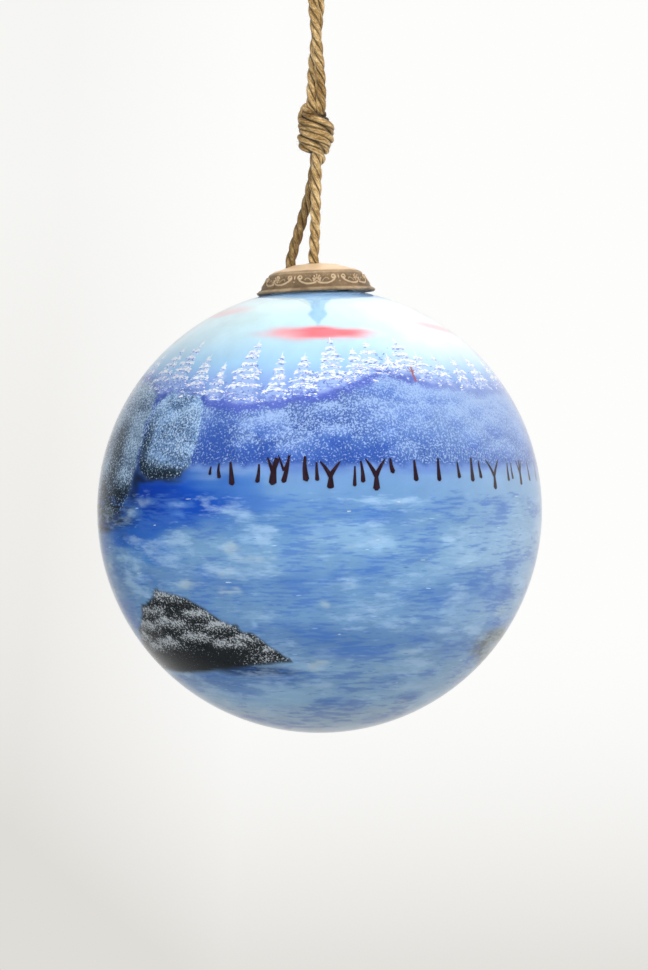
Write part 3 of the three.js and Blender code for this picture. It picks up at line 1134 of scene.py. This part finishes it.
def paintRock(p, shift, floorLat):
    lon = angleBetween(p.lon, shift)
    first, last = rockOutline[0][0], rockOutline[-1][0]
    top = along(lon, rockOutline) + p.fine * 2.2
    near = (lon > first) & (lon < last)
    footLine = [(first, floorLat + 1), (-55, floorLat), (-25, floorLat + 3), (last, floorLat + 5)]
    floor = along(lon, footLine)
    floor = floor + p.thinStreak * 1.2
    inside = smoothStep(top + 0.5, top - 0.5, p.lat) * smoothStep(floor - 0.8, floor + 0.8, p.lat) * near
    p.lay(spot(lon, p.lat, (-35, floorLat - 2.5), (34, 3.2), 0.6) * 0.6, (72, 110, 170))
    p.lay(spot(lon, p.lat, (-24, floorLat + 1.2), (15, 1.9), 0.5) * 0.85, (36, 58, 100))
    p.lay(inside, (34, 37, 40))
    snow = np.clip((p.lat - floor - 3.5) / 6, 0, 1)
    p.frostTint = over(p.frostTint, inside, (204, 210, 214))
    p.shadeTint = over(p.shadeTint, inside, (20, 22, 24))
    thin = smoothStep(-34, -18, lon)
    snow = np.maximum(snow, thin * 1.3)
    p.cover(inside, frost=0.08 + 0.3 * snow, shade=0.4)
    for place, height, wide, tall in rockLobes:
        lobe = spot(lon + p.fine * 3, p.lat + p.fine * 1.6, (place, height), (wide, tall), 0.3) * inside
        rise = np.clip((p.lat - height + tall) / (2 * tall), 0, 1)
        p.lay(lobe * rise * 0.8, (160, 166, 170))
        p.lay(lobe * (1 - rise) * 0.75, (18, 20, 22))
        p.cover(lobe * 0.9, frost=0.18 + 0.74 * rise, shade=0.55 * (1 - rise))
    p.lightStroke = p.lightStroke * (1 - inside)
    p.darkStroke = p.darkStroke * (1 - inside)


def makePaintMaterial():
    material, n, shader, _ = newMaterial("handPaint")
    point = n.objectPoint()
    covers = n.add("ShaderNodeSeparateColor", {0: n.attribute("covers")}).outputs
    wash = n.remap(n.noise(point, 120.0, 4.0, 0.6), 0.3, 0.7, 0.93, 1.05)
    ground = {"Color": n.attribute("groundTint"), "Value": wash}
    colour = n.add("ShaderNodeHueSaturation", ground).outputs[0]
    darkCover = n.attribute("darkStroke", "Fac")

    def brush(under, strength, tint, tree, **settings):
        mask = n.group(tree, Vector=point, **settings)[0]
        return n.mix(n.maths("MULTIPLY", mask, strength), under, tint), mask

    # wide strokes, thin strokes, then the specks of shade and frost
    thick = {"Scale": 70.0, "Flatness": 3.6, "Cover": darkCover, "Softness": 0.5}
    colour, _ = brush(colour, 0.4, rgba((78, 120, 192)), strokeGroup, **thick)
    thick = {"Scale": 95.0, "Flatness": 3.8, "Cover": covers[2], "Softness": 0.4}
    colour, light = brush(colour, 0.45, rgba((176, 206, 234)), strokeGroup, **thick)
    thin = {"Scale": 150.0, "Flatness": 7.0, "Cover": darkCover, "Softness": 0.3}
    colour, _ = brush(colour, 0.55, rgba((66, 110, 188)), strokeGroup, **thin)
    thin = {"Scale": 170.0, "Flatness": 6.0, "Cover": covers[2], "Softness": 0.25}
    colour, _ = brush(colour, 0.18, rgba((182, 210, 234)), strokeGroup, **thin)
    specks = {"Scale": 1400.0, "Cover": covers[1], "Softness": 0.25}
    colour, _ = brush(colour, 0.75, n.attribute("shadeTint"), stippleGroup, **specks)
    specks = {"Scale": 1650.0, "Cover": covers[0], "Softness": 0.28}
    colour, frost = brush(colour, 0.8, n.attribute("frostTint"), stippleGroup, **specks)
    relief = n.maths("ADD", n.maths("MULTIPLY", frost, 0.5), n.maths("MULTIPLY", light, 0.3))
    look = {
        "Base Color": colour,
        "Roughness": n.remap(light, 0.0, 1.0, 0.75, 0.6),
        "Specular IOR Level": 0.15,
        "Normal": n.bump(relief, 0.15, 0.1 * mm),
    }
    n.fill(shader, look)
    return material


def makePaintedScene():
    outer = spinProfile(arc(painting["radius"], 0, 180, painting["rows"] + 1), painting["columns"])
    for vert in outer.verts:
        # columns gather towards the front, rows towards the middle
        flat = math.hypot(vert.co.x, vert.co.y)
        turn = math.atan2(vert.co.x, -vert.co.y)
        turn -= painting["frontShare"] * math.sin(turn)
        up = math.atan2(vert.co.z, flat)
        up -= painting["middleShare"] * math.sin(2 * up) / 2
        level = painting["radius"] * math.cos(up)
        vert.co = (level * math.sin(turn), -level * math.cos(turn), painting["radius"] * math.sin(up))
    axis = ballFrame.to_3x3() @ Vector((0, 0, 1))
    openHeight = math.sqrt(painting["radius"] ** 2 - (ball["neckRadius"] - 1.2 * mm) ** 2)
    cut = {"plane_co": axis * openHeight, "plane_no": axis, "clear_outer": True}
    bmesh.ops.bisect_plane(outer, geom=[*outer.verts, *outer.edges, *outer.faces], **cut)
    inner = bmesh.new()
    bmesh.ops.create_uvsphere(
        inner, u_segments=96, v_segments=48, radius=painting["radius"] - painting["film"]
    )
    cut["plane_co"] = axis * (openHeight - painting["film"])
    bmesh.ops.bisect_plane(inner, geom=[*inner.verts, *inner.edges, *inner.faces], **cut)
    bmesh.ops.reverse_faces(inner, faces=inner.faces)
    pour(inner, outer)
    rims = [e for e in outer.edges if e.is_boundary]
    bmesh.ops.bridge_loops(outer, edges=rims)
    bmesh.ops.triangulate(outer, faces=[f for f in outer.faces if len(f.verts) > 4])
    piece = newPiece("paintedScene", outer, [makePaintMaterial()])
    layers = PaintLayers(meshPoints(piece.data))
    paintSky(layers)
    paintPines(layers, allPines)
    paintBushes(layers)
    paintField(layers)
    layers.lay(spot(layers.lon, layers.lat, (-57.5, 13), (4.5, 11), 0.4) * 0.9, (22, 34, 46))
    for tree in nearTrees:
        paintClump(layers, *tree)
    paintRock(layers, 0, -46)
    paintRock(layers, 215, -44)
    mesh = piece.data
    pointColours(mesh, "groundTint", linear(np.clip(layers.ground, 0, 255)))
    pointColours(mesh, "frostTint", linear(layers.frostTint))
    pointColours(mesh, "shadeTint", linear(layers.shadeTint))
    pointColours(mesh, "covers", np.stack([layers.frost, layers.shade, layers.lightStroke], 1))
    pointValues(mesh, "darkStroke", layers.darkStroke)
    mesh.transform(Matrix.Translation(ballCentre))
    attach(piece, "ball")
    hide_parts("painted_lining")


allPines = addFarPines()
makePaintedScene()
print("scene painted")

# Brush strokes laid over the painting.


def onPaint(lon, lat):
    # a place on the stroke layer and the directions right, up and out there
    a, b = math.radians(lon), math.radians(lat)
    out = Vector((math.cos(b) * math.sin(a), -math.cos(b) * math.cos(a), math.sin(b)))
    right = Vector((math.cos(a), math.sin(a), 0))
    return out * painting["strokeRadius"], right, out.cross(right), out


def addDab(bm, tintLayer, lon, lat, length, width, lean, tint):
    # one touch of a small brush, size in mm, lean in degrees
    place, right, up, out = onPaint(lon, lat)
    angle = math.radians(lean)
    along = right * math.cos(angle) + up * math.sin(angle)
    across = out.cross(along)
    turn = Matrix((along * length / 2 * mm, across * width / 2 * mm, out)).transposed().to_4x4()
    made = bmesh.ops.create_circle(
        bm, cap_ends=True, segments=7, radius=1, matrix=Matrix.Translation(place) @ turn
    )["verts"]
    for vert in made:
        jitter = random.uniform(0.8, 1.15)
        vert.co = place + (vert.co - place) * jitter
        vert.co = vert.co.normalized() * painting["strokeRadius"]
        vert[tintLayer] = tint


def addStroke(bm, tintLayer, points, widths, tint):
    # a longer stroke through (lon, lat) points, widths in mm
    steps = len(points) - 1
    made = bmesh.ops.create_grid(bm, x_segments=2, y_segments=steps, size=1)["verts"]
    for vert in made:
        i = round((vert.co.y + 1) / 2 * steps)
        side = vert.co.x
        place, _, _, out = onPaint(*points[i])
        before = onPaint(*points[max(i - 1, 0)])[0]
        after = onPaint(*points[min(i + 1, steps)])[0]
        across = (after - before).normalized().cross(out)
        vert.co = place + across * side * widths[i] / 2 * mm
        vert.co = vert.co.normalized() * (painting["strokeRadius"] + 0.02 * mm)
        vert[tintLayer] = tint


def tint(colour, spread=0.0):
    shift = random.uniform(-spread, spread)
    return rgba([min(max(c + shift, 0), 255) for c in colour])


pineTints = [
    (250, 252, 255), (236, 244, 252), (248, 246, 248), (238, 228, 242), (206, 222, 250), (178, 196, 244),
]
pineShades = [(132, 150, 222), (150, 176, 232), (112, 134, 206)]
underwoodTints = [*pineTints[4:], (146, 166, 226), (122, 140, 214), (160, 182, 232), (110, 130, 206)]
rippleTints = [(150, 188, 228), (172, 204, 232), (186, 206, 214), (92, 138, 200), (104, 146, 204)]
trunkTint = (36, 19, 27)
trunkForks = {
    # spread in degrees, its power, where it starts, its rise, steps, widths
    1: (1.6, 1, 0.4, 0.62, (0, 0.5, 1), (0.6, 0.45, 0.2)),
    2: (2.6, 1.2, 0.42, 0.6, (0, 0.3, 0.65, 1), (0.75, 0.7, 0.5, 0.2)),
}
twigTint = (168, 100, 104)


def paintPine(bm, layer, lon, top):
    foot = ridgeHeight(lon) - 0.6
    half = (4.4 + (top - 40) * 0.26) * random.uniform(0.9, 1.1)
    haze = max(0, min(1, (lon - 20) / 40)) * 0.45 if lon > 0 else 0
    tiers = max(4, int((top - foot) / 2.1))
    for tier in range(tiers):
        share = (tier + random.uniform(0.25, 0.65)) / tiers * 0.94
        reach = half * share**0.7 * random.uniform(0.75, 1.25)
        shift = random.uniform(-0.5, 0.5) * share
        height = top - share * (top - foot)
        for _ in range(int((8 + reach * 10) * (1 if share < 0.75 else 0.6))):
            side = random.uniform(-1, 1)
            drift = random.gauss(0, 0.44)
            lift = -abs(side) ** 1.5 * 1.2 * share + drift
            colour = pineTints[min(4, int(random.random() ** 1.5 * 5))]
            under = drift < -0.2 and random.random() < 0.55
            if under or share > 0.75 and random.random() < 0.7:
                colour = random.choice(pineShades)
            pale = [c + (252 - c) * haze for c in colour]
            lean = -side * random.uniform(5, 45)
            size = (random.uniform(0.7, 1.6), random.uniform(0.34, 0.62))
            addDab(bm, layer, lon + shift + side * reach, height + lift, *size, lean, tint(pale, 5))
    tip = [(lon, top - 1.2), (lon, top + 0.3), (lon + 0.05, top + 1.2)]
    addStroke(bm, layer, tip, (0.45, 0.3, 0.12), tint((240, 248, 254)))


def paintUnderwood(bm, layer, first):
    # the low frosted growth between the pines and the violet line
    for _ in range(100):
        lon = first + random.uniform(0, 15)
        height = ridgeHeight(lon) + abs(random.gauss(0, 2.6)) + 0.9
        colour = random.choice(underwoodTints)
        size = (random.uniform(0.5, 1.2), random.uniform(0.25, 0.5))
        addDab(bm, layer, lon, height, *size, random.uniform(-60, 60), tint(colour, 6))


def paintTrunk(bm, layer, place):
    lon, foot, top, thick, lean, kind = place
    haze = max(0, min(1, (abs(angleBetween(lon, 0)) - 22) / 60)) * 0.45
    colour = [c + (120 - c) * haze for c in trunkTint]
    tall = top - foot
    bend = random.uniform(-0.25, 0.25)
    thick = thick * 1.15
    steps = [(lon + lean * t + bend * math.sin(3 * t), foot + tall * t) for t in (0, 0.25, 0.5, 0.75, 1)]
    if kind == 2:
        steps = [(lon + lean * t * 0.3, foot + tall * 0.45 * t) for t in (0, 0.3, 0.6, 0.85, 1.15)]
    widths = [thick * w for w in (1.2, 1.0, 0.8, 0.65, 0.45)]
    addStroke(bm, layer, steps, widths, tint(colour))
    addDab(bm, layer, lon, foot, thick, thick * 0.7, 0, tint(colour))
    if kind in trunkForks:
        spread, power, low, rise, shares, widths = trunkForks[kind]
        for side in (-1, 1):
            arm = [(lon + side * spread * t**power, foot + tall * (low + rise * t)) for t in shares]
            addStroke(bm, layer, arm, [thick * w for w in widths], tint(colour))


def paintRipples(bm, layer, count):
    # pale level flicks on the snow
    for _ in range(count):
        lon = random.uniform(-180, 180)
        lat = random.uniform(-58, 4)
        near = abs(angleBetween(lon, -40)) < 32 and -48 < lat < -18
        if near or abs(angleBetween(lon, 175)) < 32 and -46 < lat < -16:
            continue
        long = random.uniform(1.0, 2.8)
        colour = random.choice(rippleTints)
        lean = random.uniform(-6, 6)
        addDab(bm, layer, lon, lat, long, random.uniform(0.22, 0.45), lean, tint(colour, 6))


def makeStrokeMaterial():
    material, n, shader, _ = newMaterial("strokePaint")
    speck = n.noise(n.objectPoint(), 1500.0, 2.0, 0.5)
    value = n.remap(speck, 0.35, 0.65, 0.9, 1.05)
    toned = n.add("ShaderNodeHueSaturation", {"Color": n.attribute("tint"), "Value": value})
    rough = n.remap(speck, 0.3, 0.7, 0.55, 0.75)
    n.fill(shader, {"Base Color": toned.outputs[0], "Roughness": rough, "Specular IOR Level": 0.15})
    return material


def inBatch(bm, brush, *settings):
    batch = bmesh.new()
    brush(batch, batch.verts.layers.float_color.new("tint"), *settings)
    pour(batch, bm)


def makePaintStrokes():
    bm = bmesh.new()
    for lon, top in allPines:
        inBatch(bm, paintPine, lon, top)
    for first in range(-180, 180, 15):
        inBatch(bm, paintUnderwood, first)
    for place in backTrunks():
        inBatch(bm, paintTrunk, place)
    for _ in range(6):
        inBatch(bm, paintRipples, 45)
    layer = bm.verts.layers.float_color["tint"]
    addStroke(bm, layer, [(31.2, 34.8), (31.0, 37), (31.2, 39.6)], (0.7, 0.6, 0.2), tint(twigTint))
    for lean, top in ((-1.0, 39.2), (1.1, 38.6), (0.6, 40.2)):
        side = [(31.1, 37.4), (31.1 + lean * 0.5, 38.2), (31.1 + lean, top)]
        addStroke(bm, layer, side, (0.4, 0.3, 0.12), tint(twigTint))
    bmesh.ops.recalc_face_normals(bm, faces=bm.faces)
    for face in bm.faces:
        if face.normal.dot(face.calc_center_median()) < 0:
            face.normal_flip()
    bm.transform(Matrix.Translation(ballCentre))
    piece = newPiece("paintStrokes", bm, [makeStrokeMaterial()])
    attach(piece, "ball")


makePaintStrokes()
print("strokes laid")

# The embossed bronze cap.

bronze = {
    "columns": 720,
    "repeats": 7,
    "relief": 0.42 * mm,
    "band": 17.6,  # mm from the axis, where the ornament runs round
    "fanHeight": 3.75,  # mm above the rim
    "turn": 1.5,  # degrees, where the first fan stands, from the front
    "light": (248, 222, 186),
    "domeHighlight": (255, 220, 178),  # painted highlight on the dome and the top of the skirt, as lit from above
    "bare": (184, 156, 122),
    "aged": (146, 122, 94),
    "dark": (62, 48, 34),
}


def bezier(points, count):
    t = np.linspace(0, 1, count)[:, None]
    p = [np.array(q, float) for q in points]
    while len(p) > 1:
        p = [a * (1 - t) + b * t for a, b in zip(p, p[1:])]
    return p[0]


def capSection(inset, topCount, sideCount):
    shoulder = cap["shoulder"] - inset
    foot = cap["radius"] - inset
    flare = foot - shoulder
    footZ = rimZ + cap["edge"]
    edge = (shoulder, shoulderZ - inset)
    dome = [(0, crestZ - inset), (shoulder * 0.62, crestZ - inset - cap["crown"] * 0.22), edge]
    skirt = [
        edge,
        (shoulder + flare * 0.3, shoulderZ - inset - cap["sideHeight"] * 0.15),
        (shoulder + flare * 0.5, footZ + cap["sideHeight"] * 0.25),
        (foot, footZ),
    ]
    return [tuple(p) for p in (*bezier(dome, topCount), *bezier(skirt, sideCount)[1:])]


def lineDistance(s, v, points):
    # how far each place is from a chain of points, in mm
    best = np.full(s.shape, 99.0)
    for (ax, ay), (bx, by) in zip(points, points[1:]):
        dx, dy = bx - ax, by - ay
        t = np.clip(((s - ax) * dx + (v - ay) * dy) / max(dx * dx + dy * dy, 1e-9), 0, 1)
        best = np.minimum(best, np.hypot(s - ax - t * dx, v - ay - t * dy))
    return best


def ridge(distance, width):
    return np.sqrt(np.clip(1 - (distance / width) ** 2, 0, 1))


def spiral(centre, start, end, first, last, count=16):
    # from one radius and angle to another, in mm and degrees
    points = []
    for i in range(count):
        t = i / (count - 1)
        r = start + (end - start) * t
        a = math.radians(first + (last - first) * t)
        points.append((centre[0] + r * math.cos(a), centre[1] + r * math.sin(a)))
    return points


def embossing(points):
    # the cast ornament's height, 0 to 1, for points in the cap's own frame
    radius = np.hypot(points[:, 0], points[:, 1])
    v = (points[:, 2] - rimZ) / mm
    turn = np.degrees(np.arctan2(points[:, 0], -points[:, 1])) - bronze["turn"]
    period = 360 / bronze["repeats"]
    # s is how far round from the nearest fan, v how far above the rim, both in mm
    s = np.abs((turn + period / 2) % period - period / 2) * math.radians(1) * bronze["band"]
    half = period / 2 * math.radians(1) * bronze["band"]
    root = bronze["fanHeight"]
    marks = [np.zeros(len(points))]
    for lean, long in ((0, 1.75), (34, 1.65), (66, 1.4), (96, 1.05)):
        a = math.radians(lean)
        foot = (math.sin(a) * 0.6, root + math.cos(a) * 0.6)
        tip = (math.sin(a) * long, root + math.cos(a) * long)
        marks.append(ridge(lineDistance(s, v, [foot, tip]), 0.28) * 0.75)
        marks.append(ridge(np.hypot(s - tip[0], v - tip[1]), 0.38))
    # scrolls: a chain of points, half width, height
    swag = [(0.5, 3.0), (1.4, 2.72), (2.6, 2.58), (3.8, 2.72), (5.0, 3.15), (6.0, 3.8), (6.6, 4.5)]
    curl = spiral((5.85, 4.7), 0.85, 0.3, -10, 330)
    leaf = [(1.9, 3.5), (2.4, 4.1), (3.1, 4.45), (3.8, 4.35), (4.1, 3.95)]
    for chain, width, tall in ((swag, 0.36, 1), (curl, 0.3, 1), (leaf, 0.26, 0.55)):
        marks.append(ridge(lineDistance(s, v, chain), width) * tall)
    # beads: place, radius, height
    beads = [(0, 3.4, 0.32, 1), (2.3, 5.2, 0.28, 0.4), (3.9, 5.45, 0.24, 0.3), (half, 3.3, 0.3, 0.8)]
    for x, y, size, tall in beads:
        marks.append(ridge(np.hypot(s - x, v - y), size) * tall)
    marks.append(ridge(np.hypot((s - half) / 0.3, (v - 4.8) / 0.8), 1.0))
    height = np.maximum.reduce(marks)
    rim = np.exp(-(((v - 0.85) / 0.55) ** 6)) * 0.42
    bead = 0.3 * ridge(np.abs(v - 6.55), 0.35)
    groove = -0.4 * np.exp(-(((v - 1.62) / 0.18) ** 2))
    outside = (radius > cap["shoulder"] * 0.9) * smoothStep(0.25, 0.6, v)
    height = (np.maximum(np.maximum(height, rim), bead) + groove) * outside
    ring = np.exp(-((radius / mm - 7.6) / 0.5) ** 2) * 0.55
    lip = np.exp(-((radius / mm - 13.7) / 0.55) ** 2) * 0.5
    return height + (ring + lip) * (v > 6.9)


def makeEdgeWear():
    # Worn is where raised work is rubbed bright, Dirt where grime stays in the low parts
    tree, n, given, out = newGroup("edgeWear", {"Height": 0.5, "Scale": 400.0}, ["Worn", "Dirt"])
    rough = n.noise(given["Vector"], given["Scale"], 5.0, 0.65)
    broad = n.noise(given["Vector"], n.maths("MULTIPLY", given["Scale"], 0.18), 3.0, 0.5)
    level = n.maths("ADD", given["Height"], n.maths("MULTIPLY", n.maths("SUBTRACT", rough, 0.5), 0.7))
    level = n.maths("ADD", level, n.maths("MULTIPLY", n.maths("SUBTRACT", broad, 0.5), 0.8))
    n.feed(out["Worn"], n.remap(level, 0.3, 0.95))
    n.feed(out["Dirt"], n.remap(level, 0.45, -0.1))
    return tree


def makeBronzeMaterial():
    material, n, shader, _ = newMaterial("antiqueBronze")
    point = n.objectPoint()
    wear = n.group(edgeWearGroup, Vector=point, Height=n.attribute("relief", "Fac"), Scale=520.0)
    mottled = n.remap(n.noise(point, 240.0, 4.0, 0.6), 0.3, 0.7)
    colour = n.mix(mottled, rgba(bronze["aged"]), rgba(bronze["bare"]))
    colour = n.mix(n.maths("MULTIPLY", wear["Worn"], 0.6), colour, rgba(bronze["light"]))
    # painted highlight: the dome and the top of the skirt are made lighter, as lit from above
    paintedHighlight = n.remap(n.noise(point, 150.0, 4.0, 0.6), 0.3, 0.7, 0.7, 1.0)
    paintedHighlight = n.maths("MULTIPLY", n.attribute("paintedHighlight", "Fac"), paintedHighlight)
    colour = n.mix(paintedHighlight, colour, rgba(bronze["domeHighlight"]))
    colour = n.mix(n.maths("MULTIPLY", wear["Dirt"], 0.6), colour, rgba(bronze["dark"]))
    grain = n.noise(point, 1400.0, 3.0, 0.6)
    rough = n.remap(wear["Worn"], 0.0, 1.0, 0.55, 0.36)
    look = {
        "Base Color": colour,
        "Metallic": n.remap(wear["Dirt"], 0.0, 1.0, 0.3, 0.2),
        "Roughness": n.maths("ADD", rough, n.remap(grain, 0.3, 0.7, -0.05, 0.06)),
        "Normal": n.bump(grain, 0.35, 0.12 * mm),
    }
    n.fill(shader, look)
    return material


edgeWearGroup = makeEdgeWear()


def drillHole(piece, place):
    bm = bmesh.new()
    size = rope["diameter"] / 2 + cap["holeGap"]
    at = Matrix.Translation((*place, shoulderZ))
    shape = {"radius1": size, "radius2": size, "depth": 16 * mm, "matrix": at}
    bmesh.ops.create_cone(bm, cap_ends=True, segments=40, **shape)
    drill = newPiece("drill", bm, [])
    cut = piece.modifiers.new("hole", "BOOLEAN")
    cut.operation = "DIFFERENCE"
    cut.solver = "EXACT"
    cut.object = drill
    bpy.context.view_layer.update()
    ready = piece.evaluated_get(bpy.context.evaluated_depsgraph_get())
    old = piece.data
    piece.data = bpy.data.meshes.new_from_object(ready)
    piece.modifiers.clear()
    bpy.data.meshes.remove(old)
    bpy.data.objects.remove(drill)


def makeCap():
    outer = capSection(0, 40, 64)
    inner = capSection(cap["wall"], 14, 10)[::-1]
    foot = cap["radius"]
    under = [
        (foot - 0.12 * mm, rimZ + 0.12 * mm),
        (foot - cap["rimInset"], rimZ),
        (foot - cap["wall"] + 0.3 * mm, rimZ + 0.1 * mm),
    ]
    bm = spinProfile([*outer, *under, *inner], bronze["columns"])
    for vert in bm.verts:
        if vert.co.z > crestZ - cap["wall"] / 2 and vert.co.xy.length < 0.01 * mm:
            vert.co.xy = (0, 0)
    bm.normal_update()
    skin = [v for v in bm.verts if v.normal.z > 0.02 or v.normal.dot(Vector((v.co.x, v.co.y, 0))) > 0]
    places = np.array([v.co for v in skin])
    lift = embossing(places) * bronze["relief"]
    outward = np.array([v.normal for v in skin])
    for vert, place in zip(skin, places + outward * lift[:, None]):
        vert.co = place
    piece = newPiece("capShell", bm, [])
    holes = (cap["frontHole"], cap["backHole"])
    for hole in holes:
        drillHole(piece, hole)
    mesh = piece.data
    points = meshPoints(mesh)
    # painted highlight: the dome counts as raised work and, with the top of the skirt, is made lighter as if
    # lit from above, but not round the rope holes
    dome = smoothStep(shoulderZ - 0.2 * mm, shoulderZ + 0.6 * mm, points[:, 2])
    relief = np.clip(embossing(points), 0, 1.2)
    for hole in holes:
        near = np.hypot(points[:, 0] - hole[0], points[:, 1] - hole[1])
        dome = dome * smoothStep(1.9 * mm, 3.0 * mm, near)
    pointValues(mesh, "relief", np.maximum(relief, dome * 0.88))
    upper = smoothStep(shoulderZ - 3.2 * mm, shoulderZ + 0.5 * mm, points[:, 2])
    pointValues(mesh, "paintedHighlight", np.maximum(dome * 0.9, upper * 0.5))
    mesh.materials.append(makeBronzeMaterial())
    mesh.polygons.foreach_set("use_smooth", [True] * len(mesh.polygons))
    mesh.transform(capFrame)
    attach(piece, "ball")
    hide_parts("cap_shell")


makeCap()
print("cap cast")


def makeGlueMaterial():
    material, n, shader, _ = newMaterial("setGlue")
    point = n.objectPoint()
    cloudy = n.remap(n.noise(point, 300.0, 4.0, 0.6), 0.3, 0.7)
    look = {
        "Base Color": n.mix(cloudy, rgba((214, 204, 172)), rgba((232, 226, 204))),
        "Roughness": n.remap(cloudy, 0.0, 1.0, 0.3, 0.5),
        "Normal": n.bump(cloudy, 0.4, 0.2 * mm),
    }
    n.fill(shader, look)
    return material


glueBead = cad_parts["glue_bead"]
if not glueBead.material_slots:
    glueBead.data.materials.append(None)
glueBead.material_slots[0].material = makeGlueMaterial()
print("glue coloured")

# Floor, lights.

studio = {
    "radius": 6.0,
    "drop": 0.62,  # from the ball's centre to the floor
    "wallHeight": 6.0,
    "bend": 2.6,
    "paper": (0.985, 0.985, 0.975, 1),
    "shade": (0.74, 0.722, 0.685, 1),
}


def makePaperMaterial():
    # the paper glows by itself, as if lit from behind, with painted shade making it a little dimmer towards
    # the floor and the left
    material, n, shader, _ = newMaterial("studioPaper")
    point = n.place(n.objectPoint(), (1, 1, 1), tuple(-ballCentre))
    axes = n.add("ShaderNodeSeparateXYZ", {0: point}).outputs
    low = n.maths("POWER", n.remap(axes["Z"], -0.14, -0.61), 2.3)
    fade = n.remap(axes["Z"], 0.5, -0.25, 0.25, 0.62)
    left = n.maths("MULTIPLY", n.remap(axes["X"], -0.12, -0.42), fade)
    grain = n.remap(n.noise(point, 300.0, 3.0, 0.6), 0.3, 0.7, -0.01, 0.01)
    dim = n.maths("ADD", n.maths("ADD", low, left), grain, clamp=True)
    look = {
        "Emission Color": n.mix(dim, studio["paper"], studio["shade"]),
        "Emission Strength": 1.0,
        "Base Color": (0, 0, 0, 1),
        "Roughness": 1.0,
        "Specular IOR Level": 0.0,
    }
    n.fill(shader, look)
    return material


def makeStudio():
    floor = ballCentre.z - studio["drop"]
    bend, radius = studio["bend"], studio["radius"]
    profile = [(0, floor), (1.2, floor), (radius - bend, floor)]
    for i in range(1, 17):
        a = math.pi / 2 * i / 16
        profile.append((radius - bend + bend * math.sin(a), floor + bend - bend * math.cos(a)))
    profile.append((radius, floor + studio["wallHeight"]))
    bm = spinProfile(profile, 100)
    bmesh.ops.reverse_faces(bm, faces=bm.faces)
    paper = newPiece("studioPaper", bm, [makePaperMaterial()])
    paper.visible_diffuse = False
    paper.visible_shadow = False
    paper.visible_glossy = False


lamps = {
    # place from the ball's centre, size, power, colour
    "keyLamp": ((1.5, -1.3, 1.2), 1.2, 47, (1, 0.99, 0.97)),
    "fillLamp": ((-1.5, -1.7, 0.9), 1.4, 33, (0.97, 0.985, 1)),
    "floorLamp": ((-0.2, -1.8, -1.3), 1.6, 31, (0.99, 0.99, 1)),
    "topLamp": ((-0.9, -0.5, 1.8), 1.2, 8, (1, 1, 1)),
    "backLamp": ((0.3, 2.0, 0.9), 1.6, 20, (1, 1, 1)),
}


def addLamp(name, place, size, power, colour):
    data = bpy.data.lights.new(name, "AREA")
    data.shape = "DISK"
    data.size = size
    data.energy = power
    data.color = colour
    lamp = bpy.data.objects.new(name, data)
    bpy.context.scene.collection.objects.link(lamp)
    lamp.location = ballCentre + Vector(place)
    lamp.rotation_euler = (-Vector(place)).to_track_quat("-Z", "Y").to_euler()
    lamp.visible_camera = False
    lamp.visible_glossy = False


def makeWorld():
    # white behind the ornament and on its right, a dim room in front of it
    world = bpy.data.worlds.new("studioAir")
    bpy.context.scene.world = world
    world.use_nodes = True
    n = Nodes(world.node_tree)
    back = world.node_tree.nodes["Background"]
    axes = n.add("ShaderNodeSeparateXYZ", {0: n.add("ShaderNodeTexCoord").outputs["Generated"]}).outputs
    aside = n.maths("MULTIPLY", axes["X"], 0.5)
    tall = n.maths("MULTIPLY", n.maths("ABSOLUTE", axes["Z"]), 0.25)
    behind = n.maths("ADD", n.maths("ADD", axes["Y"], aside), tall)
    strength = n.remap(behind, 0.2, 0.85, 0.05, 1.0)
    for fade in (n.remap(axes["Z"], -0.9, 0.3, 0.5, 1.0), n.remap(axes["X"], -0.6, 0.2, 0.78, 1.0)):
        strength = n.maths("MULTIPLY", strength, fade)
    n.feed(back.inputs["Color"], n.mix(strength, (0, 0, 0, 1), (1, 0.995, 0.985, 1)))
    back.inputs["Strength"].default_value = 0.95


makeStudio()
makeWorld()
for name, settings in lamps.items():
    addLamp(name, *settings)
bpy.context.scene.view_settings.view_transform = "Standard"
print("studio lit")
